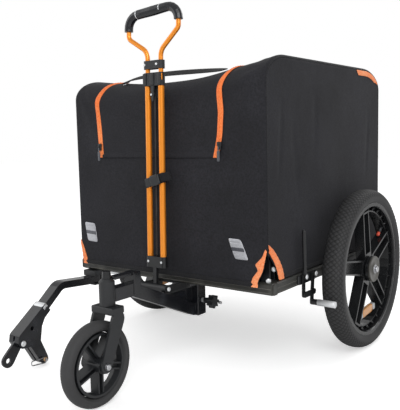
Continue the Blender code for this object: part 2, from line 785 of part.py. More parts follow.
def make_front():
    """Front flap, its two zips with their sliders, and the strap across the front of the roof."""
    flap = band("front_flap", FLAP_LEFT, FLAP_RIGHT, FLAP_THICKNESS)
    hang(flap, ROOT, COVER_CLOTH)
    for side, name, edge in ((-1, "left", FLAP_LEFT), (1, "right", FLAP_RIGHT)):
        near = edge + side * GAP
        far = near + side * ZIP_WIDTH
        tape = band(f"front_zip_{name}", min(near, far), max(near, far), ZIP_THICKNESS)
        hang(tape, ROOT, ORANGE_TAPE)
        face = COVER_FRONT_Y - FLAP_LIFT - ZIP_THICKNESS
        middle = (near + far) / 2
        pivot = empty(f"zip_{name}_slide", (middle, face, ZIP_SLIDER_HEIGHT), ROOT)
        slider = box(
            f"zip_slider_{name}",
            (middle - 0.0045, face - GAP - 0.005, ZIP_SLIDER_HEIGHT - 0.006),
            (middle + 0.0045, face - GAP, ZIP_SLIDER_HEIGHT + 0.006),
            0.001,
        )
        puller = box(
            "puller",
            (middle - 0.0028, face - GAP - 0.004, ZIP_SLIDER_HEIGHT - 0.034),
            (middle + 0.0028, face - GAP - 0.0015, ZIP_SLIDER_HEIGHT - 0.004),
            0.0006,
        )
        hang(join(slider, puller), pivot, BLACK_PLASTIC)
    edges = (TOP_STRAP_Y - TOP_STRAP_WIDTH / 2, TOP_STRAP_Y + TOP_STRAP_WIDTH / 2)
    left, right = TOP_STRAP_SHIFT - TOP_STRAP_HALF, TOP_STRAP_SHIFT + TOP_STRAP_HALF
    lift = 2 * FLAP_LIFT + FLAP_THICKNESS + 4 * GAP
    count = 11
    stations = []
    for index in range(count):
        share = index / (count - 1)
        rise = TOP_STRAP_RISE * math.sin(math.pi * share**TOP_STRAP_SKEW) + lift
        places = []
        for back in edges:
            start, end = cover_top(left, back), cover_top(right, back)
            places.append((back, start + (end - start) * share + rise))
        stations.append((left + (right - left) * share, places))
    strap = thicken(skin("top_strap", stations), TOP_STRAP_THICKNESS, 1.0)
    hang(strap, ROOT, WEBBING)


def make_door():
    """The rear door flap, hinged along its top edge."""
    face = COVER_REAR_Y + GAP
    pivot = empty("door_hinge", (0.0, face + DOOR_THICKNESS / 2, DOOR_TOP), ROOT)
    outline = rounded(
        [
            (-DOOR_HALF_WIDTH, DOOR_BOTTOM),
            (DOOR_HALF_WIDTH, DOOR_BOTTOM),
            (DOOR_HALF_WIDTH, DOOR_TOP),
            (-DOOR_HALF_WIDTH, DOOR_TOP),
        ],
        [DOOR_CORNER, DOOR_CORNER, 0.004, 0.004],
    )
    door = plate("rear_door", [outline], DOOR_THICKNESS, (0.0, face + DOOR_THICKNESS / 2, 0.0), FLAT_XZ)
    hang(door, pivot, COVER_CLOTH)


def make_side_frame(side, name, leg_inset, pivot_z, top_z):
    """One folding side frame: a bent tube on two corner brackets. It leans out a little against its stop."""
    pivot_x = side * FRAME_PIVOT_X
    front, rear = leg_inset, TRAY_DEPTH - leg_inset
    foot = pivot_z - LEG_BELOW_PIVOT
    path = rounded(
        [(pivot_x, front, foot), (pivot_x, front, top_z), (pivot_x, rear, top_z), (pivot_x, rear, foot)],
        [0, FRAME_FRONT_RADIUS, FRAME_REAR_RADIUS, 0],
        count=6,
        closed=False,
    )
    frame = bake(tube(f"side_frame_{name}", path, FRAME_TUBE_RADIUS, fineness=3))
    reach = FRAME_TUBE_RADIUS + 0.002
    for back in (front, rear):
        hole = rod(
            "hole",
            (pivot_x, back - reach, pivot_z),
            (pivot_x, back + reach, pivot_z),
            FRAME_PIN_RADIUS + RUN,
            12,
        )
        frame = cut(frame, hole)
    lean = math.radians(FRAME_LEAN_DEG) * side
    pivot = empty(f"frame_hinge_{name}", (pivot_x, (front + rear) / 2, pivot_z), ROOT, (0.0, lean, 0.0))
    hang(frame, pivot, BLACK_STEEL)
    for back, end in ((front, "front"), (rear, "rear")):
        hang(make_corner_bracket(f"corner_bracket_{end}_{name}", pivot_x, back, pivot_z), ROOT, BLACK_STEEL)


def make_corner_bracket(name, across, back, pivot_z):
    """A base on the tray with two ears and the pin on which a frame leg folds."""
    base_low = FRAME_TOP + GAP
    inner = FRAME_TUBE_RADIUS + RUN
    outer = inner + EAR_THICKNESS
    bracket = box(
        name,
        (across - EAR_HALF_WIDTH, back - outer - WELD_STEP, base_low),
        (across + EAR_HALF_WIDTH, back + outer + WELD_STEP, base_low + BRACKET_BASE),
    )
    ear_half = EAR_HALF_WIDTH - WELD_STEP
    outline = [
        (across - ear_half, base_low + WELD_STEP),
        (across + ear_half, base_low + WELD_STEP),
        (across + ear_half, pivot_z),
        (across + ear_half / 2, pivot_z + ear_half),
        (across - ear_half / 2, pivot_z + ear_half),
        (across - ear_half, pivot_z),
    ]
    for side in (-1, 1):
        middle = back + side * (inner + EAR_THICKNESS / 2)
        ear = plate("ear", [outline], EAR_THICKNESS, (0.0, middle, 0.0), FLAT_XZ)
        bracket = join(bracket, ear)
    reach = outer + 0.002
    pin = rod("pin", (across, back - reach, pivot_z), (across, back + reach, pivot_z), FRAME_PIN_RADIUS, 12)
    return join(bracket, pin)


def spoke_outline(start, end, root_width, tip_width, inset=0.0):
    """A spoke's flat outline along +X, narrower towards the rim; inset draws every side in."""
    return [
        (start + inset, -root_width / 2 + inset),
        (end - inset, -tip_width / 2 + inset),
        (end - inset, tip_width / 2 - inset),
        (start + inset, root_width / 2 - inset),
    ]


def make_wheel(side, name):
    """A moulded five-spoke wheel with its tyre, on a bolt that the axle plate under the side rail holds."""
    centre = Vector((side * WHEEL_X, WHEEL_Y, WHEEL_RADIUS))
    pivot = empty(f"wheel_axis_{name}", centre, ROOT)
    steps = 40
    flange = RIM_HALF_WIDTH + RIM_FLANGE
    rim_profile = [
        (-flange, RIM_FLANGE_RADIUS),
        (-RIM_HALF_WIDTH, RIM_FLANGE_RADIUS),
        (-RIM_HALF_WIDTH, RIM_SEAT_RADIUS),
        (RIM_HALF_WIDTH, RIM_SEAT_RADIUS),
        (RIM_HALF_WIDTH, RIM_FLANGE_RADIUS),
        (flange, RIM_FLANGE_RADIUS),
        (flange, RIM_WELL_OUTER + 0.002),
        (flange - 0.003, RIM_WELL_OUTER),
        (RIM_WELL_FLOOR, RIM_WELL_OUTER),
        (RIM_WELL_FLOOR, RIM_WELL_INNER),
        (RIM_LIP, RIM_WELL_INNER),
        (RIM_LIP, RIM_INNER_RADIUS),
        (-flange + 0.006, RIM_INNER_RADIUS),
        (-flange, RIM_INNER_RADIUS + 0.006),
    ]
    rim_profile = [(side * along, radius) for along, radius in rim_profile]
    wheel = turned(f"wheel_{name}", rim_profile, centre, steps, ring=True)
    hub_profile = [
        (HUB_INNER, AXLE_RADIUS + RUN),
        (HUB_INNER, HUB_RADIUS),
        (HUB_OUTER - 0.014, HUB_RADIUS),
        (HUB_OUTER - 0.010, HUB_CAP_RADIUS),
        (HUB_OUTER - 0.003, HUB_CAP_RADIUS),
        (HUB_OUTER, HUB_CAP_RADIUS - 0.006),
        (HUB_OUTER, AXLE_RADIUS + RUN),
    ]
    hub_profile = [(side * along, radius) for along, radius in hub_profile]
    hub = turned("hub", hub_profile, centre, 24, ring=True)
    start, end = HUB_RADIUS - 0.008, RIM_INNER_RADIUS + 0.004
    solids, hollows = [], []
    for index in range(SPOKE_COUNT):
        angle = math.radians(SPOKE_PHASE_DEG + 360.0 * index / SPOKE_COUNT)
        turn = Matrix.Rotation(angle, 4, "Z")
        outline = spoke_outline(start, end, SPOKE_ROOT_WIDTH, SPOKE_TIP_WIDTH)
        middle = side * (SPOKE_FACE + SPOKE_BACK) / 2
        solid = plate(
            "spoke", [outline], SPOKE_FACE - SPOKE_BACK, centre + Vector((middle, 0, 0)), FLAT_YZ @ turn
        )
        solids.append(solid)
        trough = spoke_outline(
            HUB_CAP_RADIUS + 0.004, RIM_INNER_RADIUS + 0.0035, SPOKE_ROOT_WIDTH - 0.001, SPOKE_TIP_WIDTH, SPOKE_WALL
        )
        depth = SPOKE_FACE - SPOKE_FLOOR + 0.004
        middle = side * (SPOKE_FLOOR + depth / 2)
        hollows.append(plate("trough", [trough], depth, centre + Vector((middle, 0, 0)), FLAT_YZ @ turn))
    bore = rod(
        "bore",
        centre + Vector((-0.05, 0, 0)),
        centre + Vector((0.05, 0, 0)),
        AXLE_RADIUS + RUN,
        24,
    )
    spider = join(hub, *solids)
    spider = cut(spider, bore, *hollows)
    wheel = join(wheel, spider)
    hang(wheel, pivot, BLACK_PLASTIC)

    bead = RIM_HALF_WIDTH - GAP
    tyre_profile = [
        (-bead, TYRE_RADIUS_AT_BEAD),
        (-bead, RIM_FLANGE_RADIUS + GAP),
        (-TYRE_HALF_WIDTH * 0.93, RIM_FLANGE_RADIUS + 0.006),
        (-TYRE_HALF_WIDTH, (WHEEL_RADIUS + RIM_FLANGE_RADIUS) / 2),
        (-TYRE_HALF_WIDTH * 0.86, WHEEL_RADIUS - 0.008),
        (-TYRE_HALF_WIDTH * 0.48, WHEEL_RADIUS - 0.0018),
        (0.0, WHEEL_RADIUS),
    ]
    tyre_profile += [(-along, radius) for along, radius in tyre_profile[-2::-1]]
    tyre = turned(f"tyre_{name}", tyre_profile, centre, steps, ring=True)
    hang(tyre, pivot, TYRE_RUBBER)

    plate_in, plate_out = AXLE_PLATE_X, AXLE_PLATE_X + AXLE_PLATE_THICKNESS
    hub_inner = WHEEL_X + HUB_INNER
    half = AXLE_PLATE_DEPTH / 2
    top = FRAME_TOP - 0.002
    low = WHEEL_RADIUS - AXLE_BOSS_RADIUS - 0.003
    outline = rounded(
        [
            (WHEEL_Y - half, top),
            (WHEEL_Y - half, TRAY_BOTTOM),
            (WHEEL_Y - AXLE_BOSS_RADIUS, low),
            (WHEEL_Y + AXLE_BOSS_RADIUS, low),
            (WHEEL_Y + half, TRAY_BOTTOM),
            (WHEEL_Y + half, top),
        ],
        [0.004, 0.004, 0.010, 0.010, 0.004, 0.004],
        count=3,
    )
    carrier = plate(
        f"axle_plate_{name}",
        [outline],
        AXLE_PLATE_THICKNESS,
        (side * (plate_in + plate_out) / 2, 0.0, 0.0),
    )
    boss = rod(
        "boss",
        (side * (plate_out - 0.001), WHEEL_Y, WHEEL_RADIUS),
        (side * (hub_inner - GAP), WHEEL_Y, WHEEL_RADIUS),
        AXLE_BOSS_RADIUS,
        20,
    )
    through = rod(
        "through",
        (side * (plate_in - 0.01), WHEEL_Y, WHEEL_RADIUS),
        (side * (hub_inner + 0.01), WHEEL_Y, WHEEL_RADIUS),
        AXLE_RADIUS + GAP,
        20,
    )
    hang(cut(join(carrier, boss), through), ROOT, BLACK_STEEL)

    outer = WHEEL_X + HUB_OUTER + GAP
    bolt = rod(
        f"wheel_axle_{name}",
        (side * plate_in, WHEEL_Y, WHEEL_RADIUS),
        (side * (outer + 0.002), WHEEL_Y, WHEEL_RADIUS),
        AXLE_RADIUS,
        20,
    )
    head = rod(
        "head",
        (side * outer, WHEEL_Y, WHEEL_RADIUS),
        (side * (outer + AXLE_HEAD_LENGTH), WHEEL_Y, WHEEL_RADIUS),
        AXLE_HEAD_RADIUS,
        16,
        AXLE_HEAD_RADIUS - 0.002,
    )
    hang(join(bolt, head), ROOT, BRIGHT_STEEL)


def make_brake(side, name):
    """A toggle brake: hand lever, link and shoe arm form a parallelogram on two rivets in the side rail."""
    near = BRAKE_PLATE_X
    far = near + BRAKE_PLATE_THICKNESS
    middle = side * (near + far) / 2
    lower_z = BRAKE_PIVOT_Z - BRAKE_LINK_DROP
    hole = BRAKE_PIN_RADIUS + RUN

    lever_pivot = empty(f"brake_lever_axis_{name}", (middle, BRAKE_LEVER_Y, BRAKE_PIVOT_Z), ROOT)
    arm = plate(
        f"brake_lever_{name}",
        [
            capsule(
                (BRAKE_LEVER_Y, BRAKE_PIVOT_Z),
                (BRAKE_LEVER_Y, lower_z),
                BRAKE_EYE_RADIUS,
                BRAKE_EYE_RADIUS,
            ),
            circle(BRAKE_LEVER_Y, BRAKE_PIVOT_Z, hole, 12),
        ],
        BRAKE_PLATE_THICKNESS,
        (middle, 0.0, 0.0),
    )
    rod_x = side * (far + BRAKE_ROD_RADIUS * 0.55)
    top = (rod_x, BRAKE_LEVER_Y - BRAKE_ROD_LEAN, BRAKE_ROD_TOP - BRAKE_ROD_RADIUS)
    bar = rod("bar", (rod_x, BRAKE_LEVER_Y, BRAKE_PIVOT_Z + 0.0062), top, BRAKE_ROD_RADIUS, 12)
    tip = rod("tip", top, (top[0], top[1], BRAKE_ROD_TOP), BRAKE_ROD_RADIUS, 12, BRAKE_ROD_RADIUS * 0.5)
    tab = box(
        "tab",
        (min(middle - side * BRAKE_PLATE_THICKNESS / 2, rod_x), BRAKE_LEVER_Y - 0.005, BRAKE_PIVOT_Z + 0.005),
        (max(middle - side * BRAKE_PLATE_THICKNESS / 2, rod_x), BRAKE_LEVER_Y + 0.005, BRAKE_PIVOT_Z + 0.016),
    )
    crank = rod(
        "crank",
        (side * (far - 0.001), BRAKE_LEVER_Y, lower_z),
        (side * (far + GAP + BRAKE_PLATE_THICKNESS + 0.001), BRAKE_LEVER_Y, lower_z),
        BRAKE_PIN_RADIUS,
        12,
    )
    hang(join(arm, tab, bar, tip, crank), lever_pivot, BLACK_STEEL)

    link_near = far + GAP
    link_middle = side * (link_near + BRAKE_PLATE_THICKNESS / 2)
    link_pivot = empty(f"brake_link_axis_{name}", (link_middle, BRAKE_LEVER_Y, lower_z), lever_pivot)
    link = plate(
        f"brake_link_{name}",
        [
            capsule((BRAKE_LEVER_Y, lower_z), (BRAKE_SHOE_Y, lower_z), BRAKE_EYE_RADIUS, BRAKE_EYE_RADIUS),
            circle(BRAKE_LEVER_Y, lower_z, hole, 12),
            circle(BRAKE_SHOE_Y, lower_z, hole, 12),
        ],
        BRAKE_PLATE_THICKNESS,
        (link_middle, 0.0, 0.0),
    )
    hang(link, link_pivot, BRIGHT_STEEL)

    shoe_pivot = empty(f"brake_shoe_axis_{name}", (middle, BRAKE_SHOE_Y, BRAKE_PIVOT_Z), ROOT)
    shoe = plate(
        f"brake_shoe_{name}",
        [
            capsule(
                (BRAKE_SHOE_Y, BRAKE_PIVOT_Z),
                (SHOE_BAR_Y, SHOE_BAR_Z),
                BRAKE_EYE_RADIUS,
                SHOE_BAR_RADIUS,
            ),
            circle(BRAKE_SHOE_Y, BRAKE_PIVOT_Z, hole, 12),
        ],
        BRAKE_PLATE_THICKNESS,
        (middle, 0.0, 0.0),
    )
    stud = rod(
        "stud",
        (side * (far - 0.001), BRAKE_SHOE_Y, lower_z),
        (side * (far + GAP + BRAKE_PLATE_THICKNESS + 0.001), BRAKE_SHOE_Y, lower_z),
        BRAKE_PIN_RADIUS,
        12,
    )
    bar = rod(
        "bar",
        (side * near, SHOE_BAR_Y, SHOE_BAR_Z),
        (side * (near + SHOE_BAR_LENGTH), SHOE_BAR_Y, SHOE_BAR_Z),
        SHOE_BAR_RADIUS,
        16,
    )
    hang(join(shoe, stud, bar), shoe_pivot, BRIGHT_STEEL)


def make_caster_arm():
    """The cranked arm from the post to the steering head, the spigot it slides on and the knob that locks it."""
    low_x, high_x = POST_X - POST_WIDTH / 2, POST_X + POST_WIDTH / 2
    low_y, high_y = POST_Y - POST_DEPTH / 2, POST_Y + POST_DEPTH / 2
    slide = empty("caster_arm_slide", (POST_X, POST_Y, POST_BOTTOM), ROOT)

    inner = SIDE_RAIL_X - GAP
    spigot = box(
        "arm_spigot",
        (-inner, low_y, TRAY_BOTTOM + GAP),
        (inner, high_y, FRAME_TOP - FLOOR_THICKNESS - GAP),
        RAIL_BEVEL / 2,
    )
    core = POST_WALL + GAP
    peg = box(
        "peg",
        (low_x + core, low_y + core, POST_BOTTOM + 0.001),
        (high_x - core, high_y - core, TRAY_BOTTOM + 0.004),
    )
    slot_half = KNOB_STUD_RADIUS + RUN
    slot = box(
        "slot",
        (low_x - 0.01, POST_Y - slot_half, POST_BOTTOM - 0.01),
        (high_x + 0.01, POST_Y + slot_half, KNOB_Z + slot_half),
    )
    hang(cut(join(spigot, peg), slot), ROOT, BLACK_STEEL)

    post = box("post", (low_x, low_y, POST_BOTTOM), (high_x, high_y, TRAY_BOTTOM - GAP), 0.0015)
    hollow = box(
        "hollow",
        (low_x + POST_WALL, low_y + POST_WALL, POST_BOTTOM - 0.01),
        (high_x - POST_WALL, high_y - POST_WALL, TRAY_BOTTOM + 0.01),
    )
    nut = rod(
        "nut", (low_x - NUT_LENGTH, POST_Y, KNOB_Z), (low_x + 0.001, POST_Y, KNOB_Z), NUT_RADIUS, 6
    )
    end_y = low_y + POST_WALL / 2
    beam = plate(
        "caster_arm",
        [
            strip_outline(
                [
                    (SWIVEL_Y + HEAD_RADIUS * 0.5, ARM_LEVEL_Z),
                    (ARM_BEND_Y, ARM_LEVEL_Z),
                    (end_y, ARM_FOOT_Z),
                ],
                ARM_HEIGHT,
            )
        ],
        ARM_WIDTH,
        (ARM_X, 0.0, 0.0),
    )
    trim = box("trim", (low_x - 0.02, end_y, 0.0), (high_x + 0.02, high_y + 0.1, TRAY_BOTTOM + 0.05))
    beam = cut(beam, trim)
    upright = box(
        "upright",
        (ARM_X - ARM_WIDTH / 2 - 0.002, ARM_BEND_Y, ARM_LEVEL_Z - ARM_HEIGHT * 0.4),
        (ARM_X + ARM_WIDTH / 2 + 0.002, ARM_BEND_Y + UPRIGHT_THICKNESS, STRUT_Z + STRUT_THICKNESS / 2),
        0.001,
    )
    strut = box(
        "strut",
        (ARM_X - ARM_WIDTH * 0.4, SWIVEL_Y + HEAD_NECK_RADIUS * 0.5, STRUT_Z - STRUT_THICKNESS / 2),
        (ARM_X + ARM_WIDTH * 0.4, ARM_BEND_Y + UPRIGHT_THICKNESS / 2, STRUT_Z + STRUT_THICKNESS / 2),
    )
    around = rod("around", (ARM_X, SWIVEL_Y, 0.15), (ARM_X, SWIVEL_Y, 0.35), HEAD_RADIUS + GAP, 28)
    slope = (ARM_FOOT_Z - ARM_LEVEL_Z) / (end_y - ARM_BEND_Y)
    gusset = plate(
        "gusset",
        [
            [
                (end_y + 0.001, ARM_FOOT_Z),
                (end_y + 0.001, GUSSET_TOP),
                (ARM_BEND_Y + (GUSSET_TOP - ARM_LEVEL_Z) / slope, GUSSET_TOP),
            ]
        ],
        GUSSET_THICKNESS,
        (ARM_X, 0.0, 0.0),
    )
    arm = cut(join(beam, upright, strut, gusset), around)
    arm = join(arm, cut(join(post, nut), hollow))
    screw_way = rod(
        "screw_way",
        (low_x - 0.02, POST_Y, KNOB_Z),
        (high_x + 0.02, POST_Y, KNOB_Z),
        KNOB_STUD_RADIUS + RUN,
        12,
    )
    hang(cut(arm, screw_way), slide, BLACK_STEEL)

    head_profile = [
        (HEAD_BOTTOM, STEM_RADIUS + RUN),
        (HEAD_BOTTOM, HEAD_RADIUS),
        (HEAD_TOP - 0.001, HEAD_RADIUS),
        (HEAD_TOP, HEAD_RADIUS - 0.001),
        (HEAD_NECK_TOP - 0.001, HEAD_NECK_RADIUS),
        (HEAD_NECK_TOP, HEAD_NECK_RADIUS - 0.001),
        (HEAD_NECK_TOP, STEM_RADIUS + RUN),
    ]
    head = turned("caster_head", head_profile, (ARM_X, SWIVEL_Y, 0.0), 24, Matrix.Identity(4), ring=True)
    hang(head, slide, BLACK_PLASTIC)

    knob_start = high_x + KNOB_STAND_OFF
    turn = empty("knob_axis", (knob_start, POST_Y, KNOB_Z), slide)
    lobes = 7
    outline = []
    for index in range(56):
        angle = 2 * math.pi * index / 56
        radius = KNOB_RADIUS * (0.82 + 0.18 * math.cos(lobes * angle))
        outline.append((POST_Y + radius * math.cos(angle), KNOB_Z + radius * math.sin(angle)))
    knob = plate("star_knob", [outline], KNOB_LENGTH, (knob_start + KNOB_LENGTH / 2, 0.0, 0.0))
    stud = rod(
        "stud",
        (low_x - NUT_LENGTH - 0.002, POST_Y, KNOB_Z),
        (knob_start + 0.002, POST_Y, KNOB_Z),
        KNOB_STUD_RADIUS,
        12,
    )
    collar = rod(
        "collar",
        (high_x + GAP, POST_Y, KNOB_Z),
        (knob_start + 0.001, POST_Y, KNOB_Z),
        KNOB_STUD_RADIUS + 0.001,
        12,
        KNOB_RADIUS * 0.55,
    )
    hang(join(knob, stud, collar), turn, BLACK_PLASTIC)
    return slide


def make_caster(slide):
    """Fork, its stem and nut, and the small five-spoke wheel ahead of the stem."""
    swivel = empty("caster_swivel", (ARM_X, SWIVEL_Y, FORK_CROWN_TOP), slide)
    axle = Vector((ARM_X, CASTER_Y, CASTER_RADIUS))
    inner = FORK_OUTER_HALF - FORK_LEG_THICKNESS
    fork = box(
        "caster_fork",
        (ARM_X - FORK_OUTER_HALF, SWIVEL_Y - FORK_CROWN_HALF_DEPTH, FORK_CROWN_BOTTOM),
        (ARM_X + FORK_OUTER_HALF, SWIVEL_Y + FORK_CROWN_HALF_DEPTH, FORK_CROWN_TOP),
        0.002,
    )
    outline = capsule(
        (SWIVEL_Y, FORK_CROWN_BOTTOM - 0.010),
        (axle.y, axle.z),
        FORK_CROWN_HALF_DEPTH - 0.001,
        FORK_EYE_RADIUS,
        count=8,
    )
    for side in (-1, 1):
        middle = ARM_X + side * (FORK_OUTER_HALF - FORK_LEG_THICKNESS / 2)
        fork = join(fork, plate("leg", [outline], FORK_LEG_THICKNESS, (middle, 0.0, 0.0)))
    stem = rod(
        "stem",
        (ARM_X, SWIVEL_Y, FORK_CROWN_TOP - 0.004),
        (ARM_X, SWIVEL_Y, HEAD_NECK_TOP + 0.004),
        STEM_RADIUS,
        20,
    )
    way = rod(
        "way",
        axle - Vector((0.06, 0, 0)),
        axle + Vector((0.06, 0, 0)),
        CASTER_AXLE_RADIUS + GAP,
        16,
    )
    hang(cut(join(fork, stem), way), swivel, BLACK_PLASTIC)

    nut_low = HEAD_NECK_TOP + GAP
    nut = rod(
        "stem_nut", (ARM_X, SWIVEL_Y, nut_low), (ARM_X, SWIVEL_Y, STEM_NUT_TOP), STEM_NUT_RADIUS, 16, 0.0085
    )
    socket = rod(
        "socket",
        (ARM_X, SWIVEL_Y, nut_low - 0.004),
        (ARM_X, SWIVEL_Y, HEAD_NECK_TOP + 0.004 + GAP),
        STEM_RADIUS + GAP,
        20,
    )
    hang(cut(nut, socket), swivel, BLACK_STEEL)

    bolt_half = FORK_OUTER_HALF + GAP
    bolt = rod(
        "caster_axle",
        axle - Vector((bolt_half + 0.002, 0, 0)),
        axle + Vector((bolt_half + 0.002, 0, 0)),
        CASTER_AXLE_RADIUS,
        16,
    )
    for side in (-1, 1):
        cap = rod(
            "cap",
            axle + Vector((side * bolt_half, 0, 0)),
            axle + Vector((side * (bolt_half + 0.005), 0, 0)),
            CASTER_NUT_RADIUS,
            12,
            CASTER_NUT_RADIUS - 0.001,
        )
        bolt = join(bolt, cap)
    hang(bolt, swivel, BRIGHT_STEEL)

    spin = empty("caster_spin", axle, swivel)
    steps = 30
    half = CASTER_TYRE_HALF
    rim_half = half - 0.002
    rim = turned(
        "caster_wheel",
        [
            (-rim_half, CASTER_SEAT_RADIUS),
            (rim_half, CASTER_SEAT_RADIUS),
            (rim_half, CASTER_RIM_INNER + 0.003),
            (0.0, CASTER_RIM_INNER),
            (-rim_half, CASTER_RIM_INNER + 0.003),
        ],
        axle,
        steps,
        ring=True,
    )
    hub = rod(
        "hub",
        axle - Vector((CASTER_HUB_HALF, 0, 0)),
        axle + Vector((CASTER_HUB_HALF, 0, 0)),
        CASTER_HUB_RADIUS,
        20,
    )
    solids, hollows = [], []
    start, end = CASTER_HUB_RADIUS - 0.006, CASTER_RIM_INNER + 0.002
    for index in range(SPOKE_COUNT):
        turn = Matrix.Rotation(math.radians(54.0 + 360.0 * index / SPOKE_COUNT), 4, "Z")
        outline = spoke_outline(start, end, CASTER_SPOKE_WIDTH, CASTER_SPOKE_WIDTH)
        solids.append(plate("spoke", [outline], 2 * rim_half - 0.004, axle, FLAT_YZ @ turn))
        trough = spoke_outline(CASTER_HUB_RADIUS - 0.001, end + 0.002, 0.0085, 0.0085)
        for side in (-1, 1):
            middle = axle + Vector((side * rim_half, 0, 0))
            hollows.append(plate("trough", [trough], 2 * rim_half - 0.006, middle, FLAT_YZ @ turn))
    spider = cut(join(hub, *solids), *hollows)
    way = rod(
        "way",
        axle - Vector((0.06, 0, 0)),
        axle + Vector((0.06, 0, 0)),
        CASTER_AXLE_RADIUS + RUN,
        16,
    )
    hang(cut(join(rim, spider), way), spin, BLACK_PLASTIC)
    seat = CASTER_SEAT_RADIUS + GAP
    tyre_profile = [
        (-rim_half, seat),
        (-half, seat + 0.006),
        (-half, CASTER_RADIUS - 0.010),
        (-half * 0.8, CASTER_RADIUS - 0.0045),
        (-half * 0.4, CASTER_RADIUS - 0.0010),
        (0.0, CASTER_RADIUS),
    ]
    tyre_profile += [(-along, radius) for along, radius in tyre_profile[-2::-1]]
    hang(turned("caster_tyre", tyre_profile, axle, steps, ring=True), spin, TYRE_RUBBER)


def tube_block(name, low, high):
    """A moulded block with round ends that holds both handle tubes between two heights."""
    half = HANDLE_TUBE_HALF_SPACING + CLAMP_ROUND
    outline = rounded(
        [(-half, -CLAMP_ROUND), (half, -CLAMP_ROUND), (half, CLAMP_ROUND), (-half, CLAMP_ROUND)],
        CLAMP_ROUND * 0.96,
        count=6,
    )
    middle = (HANDLE_X, HANDLE_TUBE_Y, (low + high) / 2)
    return plate(name, [outline], high - low, middle, Matrix.Identity(4))


